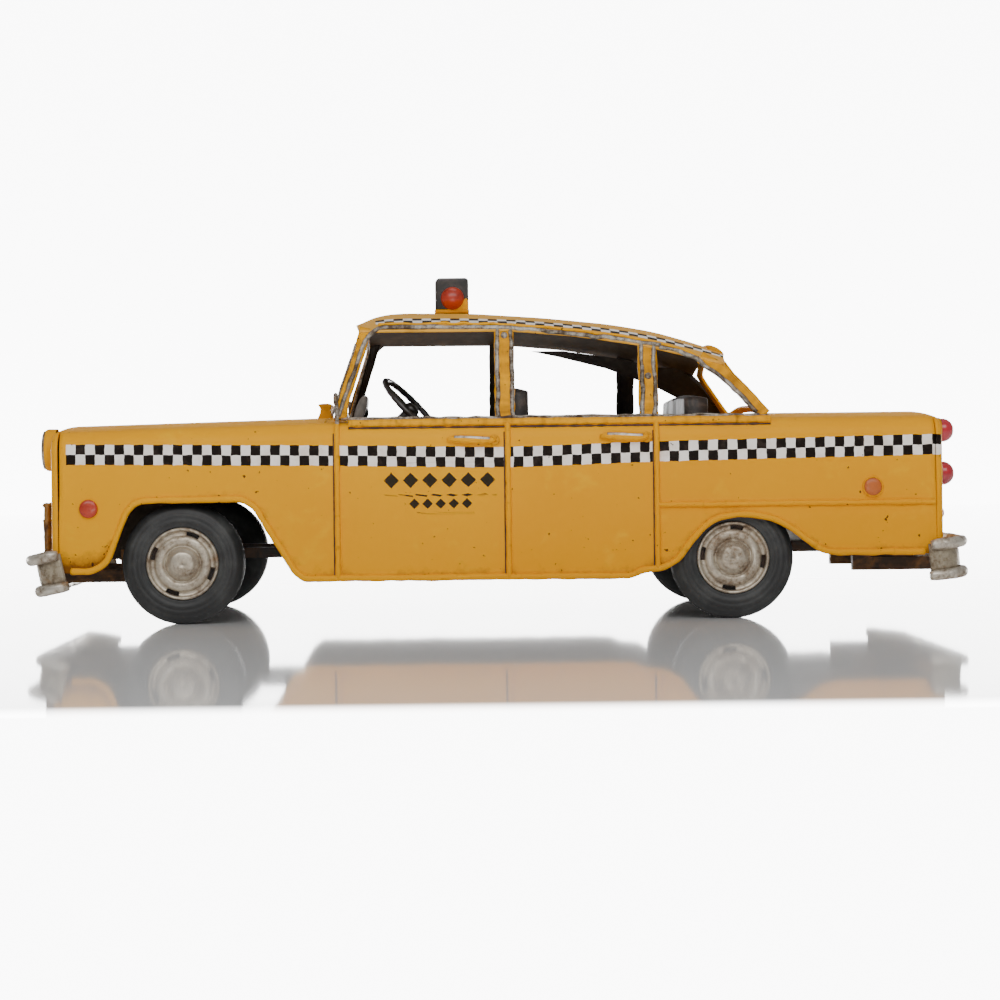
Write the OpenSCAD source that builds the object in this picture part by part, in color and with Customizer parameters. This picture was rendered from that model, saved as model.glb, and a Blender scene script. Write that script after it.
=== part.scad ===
// Tinplate taxi sedan with a friction drive, built from bent and soldered sheet.
// +Z is up, the car faces -X and its driver's side is -Y. The origin is on the
// ground, under the middle of the car. All sizes are in millimetres.

/* [Body shell] */
// Width over the two side panels
body_w = 150; // [146:1:156]
// Height of the belt line above the ground
belt_z = 85.5; // [84:0.5:88]
// Distance from the middle of the car to the front face
nose_x = 189.9; // [188:0.1:192]
// Distance from the middle of the car to the rear face
tail_x = 189.9; // [188:0.1:192]
// Radius of the rolled shoulder between side and top
shoulder_r = 8.6; // [7:0.2:10]
// Radius of the corners at nose and tail
corner_r = 3; // [2:0.2:5]
// Rise of the hood and rear deck in the middle of the car
top_crown = 3.2; // [3:0.2:5]
// Angle at which the hood falls away towards the nose
hood_fall = 1.35; // [0.5:0.05:1.6]
// Thickness of the tin sheet
sheet = 1.0; // [0.8:0.1:1.2]
// Width of the soldered beading
bead_w = 2.8; // [2:0.1:3.2]
// Height of the soldered beading above the sheet
bead_h = 1.4; // [0.8:0.1:1.8]

/* [Roof and windows] */
// Lean of the window pillars towards the middle of the car
pillar_lean = 11.2; // [8:0.2:13]
// Thickness of the window pillars
pillar_t = 2.2; // [1.5:0.1:3]
// Thickness of the roof skin
roof_t = 1.2; // [1:0.1:1.6]
// Length, width and height of the roof sign
sign_size = [15.2, 32, 15.6]; // [10:0.1:40]

/* [Wheels] */
// Outer radius of the tyres
tyre_r = 26; // [24:0.5:27]
// Width of a tyre
tyre_w = 17; // [14:0.5:18]
// Radius of the wheel inside the tyre
wheel_r = 15.5; // [14:0.5:17]
// Distance of the front axle ahead of the middle of the car
front_axle_x = 134.4; // [132:0.2:137]
// Distance of the rear axle behind the middle of the car
rear_axle_x = 100.4; // [98:0.2:103]
// Radius of both axles
axle_r = 2; // [1.5:0.1:2.2]
// Radial clearance of a shaft in its plate
run_gap = 0.05; // [0.03:0.01:0.1]

/* [Friction drive] */
// Gear module of both gear pairs
gear_m = 1; // [0.9:0.05:1]
// Teeth of the two large gears
gear_teeth = 24; // [20:1:24]
// Teeth of the two pinions
pinion_teeth = 12; // [12:1:14]
// Radius of the flywheel
flywheel_r = 14.4; // [12:0.2:15]
// Radius of the layshaft and the flywheel shaft
shaft_r = 1.5; // [1.2:0.1:1.8]

/* [Bumpers] */
// Distance from the middle of the car to the tip of the front bumper
front_bumper_x = 200.5; // [199:0.5:202]
// Distance from the middle of the car to the tip of the rear bumper
rear_bumper_x = 202.4; // [200:0.2:204]
// Height of a bumper rail
rail_h = 4.9; // [4:0.1:5.5]
// Forward droop of the front bumper
front_droop = 12; // [0:1:14]
// Upward tilt of the rear bumper
rear_rise = 5; // [0:1:8]

/* [Cabin] */
// Half the width of the front bench
front_seat_half_w = 60; // [50:1:62]
// Half the width of the rear bench, which stands between the wheels
rear_seat_half_w = 54; // [46:1:54]
// Radius of the steering wheel rim
steering_r = 17; // [14:0.5:18]

/* [Hidden] */
$fn = 48;
half_w = body_w / 2;
crown_half_w = half_w - shoulder_r;
shoulder_z = belt_z - shoulder_r;
corner_x = 186.8;
sill_x = 181.8;
brow_z = [82.5, 86];
handle_at = [[-10.5, 77], [54.4, 77.6]];
door_lines = [-67.9, 4.8, 68.1];
rib_z = 49;
lamp_y = 62;
lamp_z = [60.9, 79.4];
reflector_z = 43.8;
headlight_at = [56, 75.2];
front_marker_at = [-173.7, 49.9];
rear_marker_at = [159.7, 55.6];
bumper_pivot = [185, 0, 21];
cowl_front_x = -73;
cowl_rear_x = -64;
deck_front_x = 94;
lip_z = 22;
rear_lip_z = 26.5;
axle_z = tyre_r;
tyre_outer_y = half_w - 1.8;
tyre_inner_y = tyre_outer_y - tyre_w;
axle_half_l = tyre_outer_y - 1.7;
front_axle = [-front_axle_x, 0, axle_z];
rear_axle = [rear_axle_x, 0, axle_z];
rail_y = [22, 28];
rail_z = [26.5, 31];
floor_z = rail_z[1];
moulding_top = belt_z + 1.5;
pillar_y = crown_half_w + 3.1;
gear_r = gear_m * gear_teeth / 2;
pinion_r = gear_m * pinion_teeth / 2;
gear_gap = gear_r + pinion_r;
lay_dir = 17;
fly_dir = 38;
layshaft_at = rear_axle + gear_gap * [cos(lay_dir), 0, sin(lay_dir)];
flywheel_at = layshaft_at + gear_gap * [cos(fly_dir), 0, sin(fly_dir)];
plate_t = 1.2;
floor_x = [-82, 73.6];
motor_y = rail_y[0];
shaft_half_l = motor_y - 0.1;
gutter_keys = [[-62, 125.2], [8, 125], [35, 122.5], [62, 118.3], [81, 113.7], [104, 108]];
crown_keys = [[-62, 128.3], [-58, 131.7], [-51, 134.5], [-42, 135.5], [-10, 135], [22, 132.7],
              [52, 129.5], [72, 125.9], [90, 120.5], [104, 115.3]];
roof_top_z = 135.2;
sign_x = -18.2;
wheel_lean = 43.5;
wheel_yaw = 9;
wheel_hub = [-36.2, -33, 91.9];
BODY = [0.91, 0.67, 0.1];
SILVER = [0.66, 0.62, 0.56];
DARK = [0.2, 0.16, 0.13];
RUBBER = [0.12, 0.12, 0.12];
RED = [0.7, 0.12, 0.08];
STEEL = [0.55, 0.55, 0.55];
BRASS = [0.72, 0.58, 0.3];

// ---- shared geometry ----

// Points of an arc of radius r about c, from angle a0 to a1, in n steps
function arc(c, r, a0, a1, n) =
    [for (i = [0:n]) c + r * [cos(a0 + (a1 - a0) * i / n), sin(a0 + (a1 - a0) * i / n)]];

function unit(v) = v / norm(v);
function left_of(v) = [-v[1], v[0]];

// Sideways direction of a path at point i, scaled so that a stroke keeps its width
function miter(p, i) =
    let (a = unit(p[max(i, 1)] - p[max(i, 1) - 1]),
         b = unit(p[min(i, len(p) - 2) + 1] - p[min(i, len(p) - 2)]),
         m = unit(left_of(a) + left_of(b)))
    m / (m * left_of(a));

// Outline of a band of width w along an open path
function stroke(p, w) =
    concat([for (i = [0:len(p) - 1]) p[i] + miter(p, i) * w / 2],
           [for (i = [len(p) - 1:-1:0]) p[i] - miter(p, i) * w / 2]);

// Mirrors an outline about the second axis and joins both halves
function both_halves(p) = concat(p, [for (i = [len(p) - 1:-1:0]) [-p[i][0], p[i][1]]]);

// A flat outline in X and Z, thick from y0 to y1
module side_plate(p, y0, y1) {
    translate([0, y1, 0]) rotate([90, 0, 0]) linear_extrude(y1 - y0) polygon(p);
}

// An outline in Y and Z, drawn out along X from x0 to x1
module cross_plate(p, x0, x1) {
    translate([x0, 0, 0]) rotate([90, 0, 90]) linear_extrude(x1 - x0) polygon(p);
}

// The children once, and again on the other side of the car
module both_sides() {
    children();
    mirror([0, 1, 0]) children();
}

// The children only on the +Y side
module far_side() {
    mirror([0, 1, 0]) children();
}

// ---- body shell ----

// Half of the body's cross-section, from the middle of the top down the side
function section_half(inset) = concat(
    [for (i = [0:8]) let (y = crown_half_w * i / 8)
        [y, belt_z - inset + top_crown * (1 - pow(y / crown_half_w, 2))]],
    [for (q = arc([crown_half_w, shoulder_z], shoulder_r - inset, 80, 0, 8)) q],
    [[half_w - inset, -20]]);

function section(inset) = both_halves(section_half(inset));

// The openings for the wheels, as the path of the beading around them
front_arch = [[-171.5, 23.4], [-166, 27.5], [-157.9, 48.1], [-154.6, 51.8], [-151.5, 53.1],
              [-109, 53.5], [-105.6, 52.6], [-103, 50], [-86, 21.8], [-83, 19.4]];
rear_arch = [[69.5, 21.9], [76.3, 25.2], [82.9, 34.3], [89.2, 41], [95.8, 43.5], [104.7, 44.6],
             [115.4, 43.1], [122.4, 40.2], [132.4, 33], [139.8, 28]];
lower_edge = concat([[-sill_x, 23.4]], front_arch, [[57, 19], [61, 21.7]], rear_arch,
                    [[sill_x, 27.9]]);

// The car's outline in X and Z, without the shape of the top
function profile(inset) = concat(
    [[-nose_x + inset, lip_z]],
    arc([-nose_x + corner_r, brow_z[0] - corner_r], corner_r - inset, 180, 90, 6),
    [[-nose_x + 2 * corner_r, 110], [tail_x - 2 * corner_r, 110]],
    arc([tail_x - corner_r, brow_z[1] - corner_r], corner_r - inset, 90, 0, 6),
    [[tail_x - inset, rear_lip_z]],
    [for (i = [len(lower_edge) - 1:-1:0]) lower_edge[i] + [0, i == 0 ? -1.4 : 0]]);

function inner_profile() = concat(
    [[-nose_x + sheet, -20]],
    arc([-nose_x + corner_r, brow_z[0] - corner_r], corner_r - sheet, 180, 90, 6),
    [[-nose_x + 2 * corner_r, 110], [tail_x - 2 * corner_r, 110]],
    arc([tail_x - corner_r, brow_z[1] - corner_r], corner_r - sheet, 90, 0, 6),
    [[tail_x - sheet, -20]]);

// The car's outline in X and Y, with rounded corners
function plan(inset) = let (r = corner_r, x0 = -nose_x + inset, x1 = tail_x - inset, y = half_w - inset)
    concat(arc([x1 - r + inset, y - r + inset], r - inset, 0, 90, 8),
           arc([x0 + r - inset, y - r + inset], r - inset, 90, 180, 8),
           arc([x0 + r - inset, -y + r - inset], r - inset, 180, 270, 8),
           arc([x1 - r + inset, -y + r - inset], r - inset, 270, 360, 8));

module body_solid(inset, outline) {
    intersection() {
        union() {
            translate([cowl_front_x, 0, belt_z]) rotate([0, -hood_fall, 0])
                translate([0, 0, -belt_z]) cross_plate(section(inset), -nose_x, 0);
            cross_plate(section(inset), cowl_front_x, tail_x + 10);
        }
        side_plate(outline, -half_w - 5, half_w + 5);
        translate([0, 0, -30]) linear_extrude(160) polygon(plan(inset));
    }
}

module body_shell() {
    difference() {
        body_solid(0, profile(0));
        body_solid(sheet, inner_profile());
    }
}

// The part of the shell between two corners
module shell_part(low, high) {
    intersection() {
        body_shell();
        translate(low) cube(high - low);
    }
}

module left_side_panel() {
    color(BODY) shell_part([-corner_x, -half_w - 1, 0], [corner_x, -crown_half_w, 100]);
}

module right_side_panel() {
    color(BODY) far_side()
        shell_part([-corner_x, -half_w - 1, 0], [corner_x, -crown_half_w, 100]);
}

module hood() {
    color(BODY) shell_part([-corner_x, -crown_half_w, 60], [cowl_front_x, crown_half_w, 100]);
}

module cowl_panel() {
    color(BODY) shell_part([cowl_front_x, -crown_half_w, 60], [cowl_rear_x, crown_half_w, 100]);
}

module rear_deck() {
    color(BODY) shell_part([deck_front_x, -crown_half_w, 60], [corner_x, crown_half_w, 100]);
}

module front_panel() {
    color(BODY) shell_part([-nose_x - 5, -half_w - 1, 0], [-corner_x, half_w + 1, 100]);
}

module rear_panel() {
    color(BODY) shell_part([corner_x, -half_w - 1, 0], [tail_x + 5, half_w + 1, 100]);
}

// A small scoop standing on the cowl, with a flared lip
module cowl_vent() {
    z = belt_z + top_crown;
    color(BODY) side_plate([[-79.2, z], [-73.2, z], [-73.6, z + 4.6], [-72.4, z + 6.4],
                            [-79.6, z + 6.4], [-78, z + 4.4]], -13, 13);
}

module floor_pan() {
    color(DARK) translate([floor_x[0], -half_w + sheet + 0.1, floor_z])
        cube([floor_x[1] - floor_x[0], body_w - 2 * sheet - 0.2, sheet]);
}

module chassis_rail() {
    difference() {
        translate([-166, -rail_y[1], rail_z[0]])
            cube([332, rail_y[1] - rail_y[0], rail_z[1] - rail_z[0]]);
        for (axle = [front_axle, rear_axle])
            translate(axle) rotate([90, 0, 0]) cylinder(h = body_w, r = axle_r + 0.8);
    }
}

module left_chassis_rail() { color(DARK) chassis_rail(); }
module right_chassis_rail() { color(DARK) far_side() chassis_rail(); }

// ---- beading and trim ----

// A bead that follows the rolled shoulder at x, as wide as w
module shoulder_bead(x, w) {
    c = [-crown_half_w, shoulder_z];
    cross_plate(concat(arc(c, shoulder_r, 180, 128, 6), arc(c, shoulder_r + bead_h, 128, 180, 6)),
                x - w / 2, x + w / 2);
}

module body_beading() {
    y = -half_w;
    side_plate(stroke(lower_edge, bead_w), y - bead_h, y);
    for (x = door_lines) {
        side_plate(stroke([[x, x > 60 ? 21.9 : 19.2], [x, shoulder_z]], bead_w - 0.3),
                   y - bead_h, y);
        shoulder_bead(x, bead_w - 0.3);
    }
    side_plate(stroke([[door_lines[2], rib_z], [corner_x, rib_z]], bead_w - 0.2), y - bead_h, y);
}

module left_body_beading() { color(BODY) body_beading(); }
module right_body_beading() { color(BODY) far_side() body_beading(); }

// The strip along the belt that the window pillars stand on
module belt_moulding() {
    c = [-crown_half_w, shoulder_z];
    cross_plate(concat(arc(c, shoulder_r, 90, 126, 5),
                       [[-half_w + 2.4, moulding_top - 2.2], [-half_w + 3.4, moulding_top - 0.5],
                        [-half_w + 4.2, moulding_top], [-crown_half_w, moulding_top]]),
                -63, 117);
}

module left_belt_moulding() { color(SILVER) belt_moulding(); }
module right_belt_moulding() { color(SILVER) far_side() belt_moulding(); }

module door_handle(at) {
    x = at[0];
    z = at[1];
    y = -half_w;
    side_plate([[x - 10, z - 0.4], [x - 8.6, z + 1.6], [x + 8, z + 2.2], [x + 10, z + 1.2],
                [x + 9.4, z - 0.6], [x - 7, z - 1.2]], y - 2.6, y - 1.2);
    for (dx = [-6.5, 6.5])
        translate([x + dx, y, z + 0.4]) rotate([90, 0, 0]) cylinder(h = 1.2, r = 0.8);
}

module door_handles() {
    color(SILVER) both_sides() for (at = handle_at) door_handle(at);
}

// ---- roof, pillars and window frames ----

function roof_half_w(x) = 63 + (125 - lookup(x, gutter_keys)) * tan(pillar_lean);
function roof_end(front, v) = front ? -61.5 + 3 * v * v : 101 - 2.5 * v * v;
function roof_z(x, v) =
    let (w = pow(v, 2.6)) lookup(x, crown_keys) * (1 - w) + lookup(x, gutter_keys) * w;

// A point of the roof: s runs from front to rear, v from -1 at one gutter to 1
function roof_point(s, v, drop) =
    let (x = roof_end(true, abs(v)) * (1 - s) + roof_end(false, abs(v)) * s)
    [x, roof_half_w(x) * v, roof_z(x, abs(v)) - drop];

// A closed skin between two grids of nu by nv points, the second below the first
module double_skin(top, bottom, nu, nv) {
    n = nu * nv;
    function id(layer, i, j) = layer * n + i * nv + j;
    rim = concat([for (j = [0:nv - 2]) [0, j]], [for (i = [0:nu - 2]) [i, nv - 1]],
                 [for (j = [nv - 1:-1:1]) [nu - 1, j]], [for (i = [nu - 1:-1:1]) [i, 0]]);
    faces = concat(
        [for (i = [0:nu - 2], j = [0:nv - 2])
            each [[id(0, i, j), id(0, i + 1, j), id(0, i + 1, j + 1)],
                  [id(0, i, j), id(0, i + 1, j + 1), id(0, i, j + 1)],
                  [id(1, i, j), id(1, i + 1, j + 1), id(1, i + 1, j)],
                  [id(1, i, j), id(1, i, j + 1), id(1, i + 1, j + 1)]]],
        [for (k = [0:len(rim) - 1])
            let (a = rim[k], b = rim[(k + 1) % len(rim)])
            each [[id(0, a[0], a[1]), id(0, b[0], b[1]), id(1, b[0], b[1])],
                  [id(0, a[0], a[1]), id(1, b[0], b[1]), id(1, a[0], a[1])]]]);
    polyhedron(concat(top, bottom), faces, convexity = 4);
}

module roof() {
    nu = 25;
    nv = 17;
    function layer(drop) = [for (i = [0:nu - 1], j = [0:nv - 1])
        roof_point(i / (nu - 1), 1 - 2 * j / (nv - 1), drop)];
    color(BODY) double_skin(layer(0), layer(roof_t), nu, nv);
}

// Turns a point given by its X and Z into the leaning plane of the pillars
function on_pillar(q) = [q[0], (q[1] - moulding_top) / cos(pillar_lean)];

// A pillar with the given outline in X and Z, on the driver's side
module pillar(p) {
    intersection() {
        translate([0, -pillar_y, moulding_top]) rotate([-pillar_lean, 0, 0])
            side_plate([for (q = p) on_pillar(q)], 0, pillar_t);
        translate([-nose_x, -half_w, moulding_top]) cube([2 * nose_x, half_w, roof_top_z]);
    }
}

// Height of a pillar's top, just below the roof's edge
function under_roof(x) = lookup(x, gutter_keys) - roof_t - 0.6;

module a_pillars() {
    color(BODY) both_sides()
        pillar([[-69.2, 87], [-63.6, 87], [-54.6, 120], [-52.6, under_roof(-52.6)],
                [-57.8, under_roof(-57.8)]]);
}

module b_pillars() {
    color(BODY) both_sides()
        pillar([[-0.4, 87], [8, 87], [8, under_roof(8)], [-0.4, under_roof(-0.4)]]);
}

module c_pillars() {
    color(BODY) both_sides()
        pillar([[61.6, 87], [69.2, 87], [69.2, under_roof(69.2)], [61.6, under_roof(61.6)]]);
}

module rear_pillars() {
    color(BODY) both_sides()
        pillar([[110.6, 87], [116.8, 87], [100.4, under_roof(100.4)], [86, under_roof(86)],
                [92.8, 105.2], [103, 97]]);
}

// A four-cornered frame with open middle: half widths at its foot and head, its height at
// the corners, and how far foot and head rise in the middle
module window_frame(foot, head, height, rise, bar, t) {
    function side(inset) = concat(
        [for (i = [0:6]) let (y = (foot - inset) * i / 6)
            [y, inset + rise[0] * (1 - pow(i / 6, 2))]],
        [for (i = [6:-1:0]) let (y = (head - inset * 1.05) * i / 6)
            [y, height - inset + rise[1] * (1 - pow(i / 6, 2.6))]]);
    linear_extrude(t) difference() {
        polygon(both_halves(side(0)));
        polygon(both_halves(side(bar)));
    }
}

module windscreen_frame() {
    color(SILVER) translate([-71.3, 0, belt_z + 0.8]) rotate([90, 0, 90]) rotate([16.8, 0, 0])
        window_frame(66, 60, 39, [top_crown, 5], 2.4, 1.4);
}

module rear_window_frame() {
    color(SILVER) translate([117.8, 0, belt_z + 1.6]) rotate([90, 0, 90]) rotate([-36, 0, 0])
        window_frame(65.6, 61, 26.2, [top_crown, 6], 2.4, 1.4);
}

// ---- roof sign ----

module roof_sign() {
    size = sign_size;
    color(DARK) translate([sign_x - size[0] / 2, -size[1] / 2, roof_top_z + 0.3]) cube(size);
}

// A dome of radius r and height h, standing on the plane z = 0
module dome(r, h) {
    big_r = (r * r + h * h) / (2 * h);
    half = asin(r / big_r);
    rotate_extrude() polygon(concat([[0, 0]], [for (i = [0:10]) let (a = half * (1 - i / 10))
        [big_r * sin(a), big_r * cos(a) - big_r + h]]));
}

module roof_sign_lenses() {
    color(RED) both_sides()
        translate([sign_x + 0.8, -sign_size[1] / 2, roof_top_z + 6.2]) rotate([90, 0, 0]) dome(5.4, 4.4);
}

// ---- front and rear details ----

// Places a part, drawn on the plane z = 0, on the front face where a headlight is
module at_headlight() {
    translate([-nose_x, -headlight_at[0], headlight_at[1]]) rotate([0, -90, 0]) children();
}

module headlight_bezels() {
    color(SILVER) both_sides() at_headlight() difference() {
        union() {
            cylinder(h = 4.6, r = 9.1);
            cylinder(h = 5.6, r = 8.5);
        }
        translate([0, 0, 3]) cylinder(h = 5, r = 7.2);
    }
}

module headlight_lenses() {
    color("white") both_sides() at_headlight() translate([0, 0, 3]) dome(7.1, 2.8);
}

module grille() {
    low = [-58, 30];
    size = [116, 22.4];
    depth = 6.2;
    columns = 14;
    rows = 3;
    bar = 1.6;
    cell = [(size[0] - bar) / columns, (size[1] - bar) / rows];
    color(BRASS) translate([-nose_x - depth, 0, 0]) rotate([90, 0, 90]) linear_extrude(depth)
        difference() {
            translate(low) square(size);
            for (i = [0:columns - 1], j = [0:rows - 1])
                translate(low + [bar + i * cell[0], bar + j * cell[1]])
                    square(cell - [bar, bar]);
        }
}

// Plan of one bumper rail: straight across the car, with a turned-back end on both sides
function rail_path(tip, reach, end_x) =
    let (r = 11)
    concat([[end_x, -reach]],
           arc([tip - r, -reach + r], r, 270, 360, 8),
           arc([tip - r, reach - r], r, 0, 90, 8),
           [[end_x, reach]]);

module bumper_rail(tip, reach, end_x, t, z0, z1) {
    translate([0, 0, z0]) linear_extrude(z1 - z0) polygon(stroke(rail_path(tip, reach, end_x), t));
}

// A bumper at the +X end, tilted up by tilt: an upper and a lower rail with a plate between them
module bumper(tip, low_z, high_z, tilt) {
    reach = half_w + 5.3;
    translate(bumper_pivot) rotate([0, -tilt, 0]) translate(-bumper_pivot) {
        bumper_rail(tip - 2.3, reach - 2.3, 184.2, 4.6, high_z - rail_h, high_z);
        bumper_rail(tip - 3.3, reach - 2.5, 182.4, 4.2, low_z, low_z + rail_h);
        bumper_rail(tip - 4.6, reach - 3.6, 183.2, 1.2, low_z + rail_h, high_z - rail_h);
    }
}

module front_bumper() {
    color(SILVER) mirror([1, 0, 0]) bumper(front_bumper_x, 14.6, 33.2, -front_droop);
}

module rear_bumper() {
    color(SILVER) bumper(rear_bumper_x, 15.4, 33.2, rear_rise);
}

// A bent strap from a chassis rail out to end_x, its lower edge at z
module bumper_strap(z, end_x) {
    height = 5.6;
    side_plate([[158, z], [end_x, z], [end_x, z + height], [166, z + height], [166, rail_z[1]],
                [158, rail_z[1]]], -rail_y[1] - 5, -rail_y[1]);
}

module bumper_brackets() {
    color(DARK) both_sides() {
        bumper_strap(18.2, 196.8);
        mirror([1, 0, 0]) bumper_strap(16.6, 194);
    }
}

module tail_lamps() {
    color(RED) both_sides() for (z = lamp_z)
        translate([tail_x, -lamp_y, z]) rotate([0, 90, 0]) {
            cylinder(h = 1.6, r = 5.4);
            translate([0, 0, 1.6]) dome(5, 5.6);
        }
}

module rear_reflectors() {
    color(RED) both_sides() translate([tail_x, -lamp_y, reflector_z]) rotate([0, 90, 0]) dome(3.3, 3);
}

module front_side_markers() {
    color(RED) both_sides() translate([front_marker_at[0], -half_w, front_marker_at[1]])
        rotate([90, 0, 0]) dome(3.9, 1.8);
}

module rear_side_markers() {
    color("orange") both_sides() translate([rear_marker_at[0], -half_w, rear_marker_at[1]])
        rotate([90, 0, 0]) dome(4.3, 1.8);
}

module door_mirrors() {
    color(SILVER) both_sides() translate([-68.2, -73.2, 95]) {
        rotate([0, 90, 0]) cylinder(h = 1.8, r = 2.8, center = true);
        rotate([180, 0, 0]) cylinder(h = 10.6, r = 0.6);
    }
}

// ---- cabin ----

module dashboard() {
    color(DARK) side_plate([[-64, 66], [-60, 66], [-57.5, 70], [-57.5, 82], [-60, 85.2], [-64, 85.2]],
                           -64, 64);
}

// A leaf-shaped hood over the instruments, in front of the driver
module instrument_hood() {
    color(STEEL) side_plate([[-63.9, 85.4], [-60.5, 85.4], [-57, 92], [-56.6, 97], [-58.2, 99.2],
                             [-61, 98], [-63.5, 92.5]], -12, 8);
}

module steering_column() {
    color(DARK) intersection() {
        translate(wheel_hub) rotate([0, 90 - wheel_lean, 0])
            translate([0, 0, -40]) cylinder(h = 37.6, r = 1.6);
        translate([-57.5, -60, 0]) cube([80, 60, 150]);
    }
}

module steering_wheel() {
    color(DARK) translate(wheel_hub) rotate([0, 90 - wheel_lean, 0]) rotate([wheel_yaw, 0, 0]) {
        rotate_extrude() translate([steering_r, 0]) circle(r = 1.35);
        cylinder(h = 3, r = 3.4, center = true);
        for (a = [90, 210, 330])
            rotate([0, 0, a]) translate([2, -1.2, -0.5]) cube([steering_r - 2.4, 2.4, 1]);
    }
}

// A bench cushion with rounded long edges
function cushion(low, high, r) =
    concat(arc([low[0] + r, low[1] + r], r, 180, 270, 6), arc([high[0] - r, low[1] + r], r, 270, 360, 6),
           arc([high[0] - r, high[1] - r], r, 0, 90, 6), arc([low[0] + r, high[1] - r], r, 90, 180, 6));

module bench_part(low, high, r, half) {
    color(DARK) side_plate(cushion(low, high, r), -half, half);
}

module front_seat_base() { bench_part([-34, floor_z + sheet], [2.6, 60], 5, front_seat_half_w); }
module front_seat_back() { bench_part([3, floor_z + sheet], [15.7, 100.4], 5, front_seat_half_w); }
module rear_seat_base() { bench_part([44, floor_z + sheet], [80.6, 60], 5, rear_seat_half_w); }
module rear_seat_back() { bench_part([81, floor_z + sheet + 6], [93.6, 96.4], 5, rear_seat_half_w); }

// ---- axles, wheels and tyres ----

module front_axle_hangers() {
    x = -front_axle_x;
    color(DARK) both_sides() difference() {
        side_plate([[x - 4, 21], [x + 4, 21], [x + 8, 30], [x + 8, 37], [x - 8, 37], [x - 8, 30]],
                   -motor_y, -motor_y + plate_t);
        translate(front_axle) rotate([90, 0, 0]) cylinder(h = 60, r = axle_r + run_gap);
    }
}

module axle_shaft(at) {
    color(STEEL) translate(at + [0, axle_half_l, 0]) rotate([90, 0, 0])
        cylinder(h = 2 * axle_half_l, r = axle_r);
}

module front_axle_shaft() { axle_shaft(front_axle); }
module rear_axle_shaft() { axle_shaft(rear_axle); }

// Places a turned part, drawn with its outer face towards +Z, on one end of an axle
module on_axle(at, side) {
    translate(at + [0, side * tyre_inner_y, 0]) rotate([side > 0 ? -90 : 90, 0, 0]) children();
}

// Tyre section as [radius, distance outward], with rings on the outer sidewall
module tyre() {
    w = tyre_w;
    r = tyre_r;
    color(RUBBER) rotate_extrude($fn = 96) polygon(concat(
        [[wheel_r, 0.6], [wheel_r + 2, 0]],
        arc([r - 3.4, 3.4], 3.4, 270, 352, 6),
        [[r, 5.6], [r, w - 5.6]],
        arc([r - 3.4, w - 3.4], 3.4, 8, 62, 4),
        [[r - 2.8, w - 0.5], [r - 3.6, w - 0.7], [r - 4, w - 0.2], [r - 6, w], [r - 6.4, w - 0.5],
         [r - 7.2, w - 0.5], [r - 7.6, w], [r - 9, w - 0.2], [r - 9.6, w - 0.9],
         [wheel_r, w - 1.1]]));
}

// Pressed wheel with a rim, a ring groove, a raised centre and four slots
module wheel() {
    w = tyre_w;
    color(SILVER) difference() {
        rotate_extrude($fn = 96) polygon(concat(
            [[axle_r, 1.4],
             [wheel_r, 1.4], [wheel_r, w - 1.1], [wheel_r - 0.6, w - 0.5], [wheel_r - 1.4, w - 0.6],
             [wheel_r - 1.9, w - 2], [wheel_r - 2.6, w - 2.2], [wheel_r - 5, w - 1.1],
             [9, w - 0.9], [8.2, w - 1.6], [7.4, w - 1.6], [6.6, w - 0.2]],
            arc([0, w - 8.5], 9.9, 60, 90, 6),
            [[0, w - 1.7], [axle_r, w - 1.7]]));
        for (a = [0:90:270])
            rotate([0, 0, a + 30]) rotate_extrude(angle = 24)
                translate([wheel_r - 4.2, w - 3.2]) square([1.9, 5]);
    }
}

module front_left_tyre() { on_axle(front_axle, -1) tyre(); }
module front_right_tyre() { on_axle(front_axle, 1) tyre(); }
module rear_left_tyre() { on_axle(rear_axle, -1) tyre(); }
module rear_right_tyre() { on_axle(rear_axle, 1) tyre(); }
module front_left_wheel() { on_axle(front_axle, -1) wheel(); }
module front_right_wheel() { on_axle(front_axle, 1) wheel(); }
module rear_left_wheel() { on_axle(rear_axle, -1) wheel(); }
module rear_right_wheel() { on_axle(rear_axle, 1) wheel(); }

// ---- friction drive ----

module motor_plates() {
    color(STEEL) both_sides() difference() {
        side_plate([[93, 20.5], [107, 20.5], [124, 27.5], [138, 30], [143, 40], [139, 50],
                    [120, 50], [94, 38]], -motor_y, -motor_y + plate_t);
        translate(rear_axle) rotate([90, 0, 0]) cylinder(h = 60, r = axle_r + run_gap);
        for (c = [layshaft_at, flywheel_at])
            translate(c) rotate([90, 0, 0]) cylinder(h = 60, r = shaft_r + run_gap);
    }
}

// Involute gear outline with the first tooth on the +X axis
function gear_outline(teeth) =
    let (r = gear_m * teeth / 2, rb = r * cos(20), tip = r + 0.8 * gear_m, root = r - 1.05 * gear_m,
         inv = tan(20) * 180 / PI - 20,
         half = 90 / teeth - 0.05 / r * 180 / PI + inv,
         top = sqrt(pow(tip / rb, 2) - 1),
         flank = [for (i = [0:5]) let (t = top * i / 5)
             [rb * sqrt(1 + t * t), half - (t * 180 / PI - atan(t))]])
    [for (k = [0:teeth - 1]) let (c = 360 * k / teeth)
        each concat([root * [cos(c - half), sin(c - half)]],
                    [for (f = flank) f[0] * [cos(c - f[1]), sin(c - f[1])]],
                    [for (i = [5:-1:0]) flank[i][0] * [cos(c + flank[i][1]), sin(c + flank[i][1])]],
                    [root * [cos(c + half), sin(c + half)]])];

// A gear between y0 and y1 with a tooth turned to the given direction in X and Z
module gear(at, teeth, dir, y0, y1) {
    translate(at) rotate([0, -dir, 0]) translate([0, y1, 0]) rotate([90, 0, 0])
        linear_extrude(y1 - y0) polygon(gear_outline(teeth));
}

module shaft_along_y(at, r, y0, y1) {
    translate([at[0], y1, at[2]]) rotate([90, 0, 0]) cylinder(h = y1 - y0, r = r);
}

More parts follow.
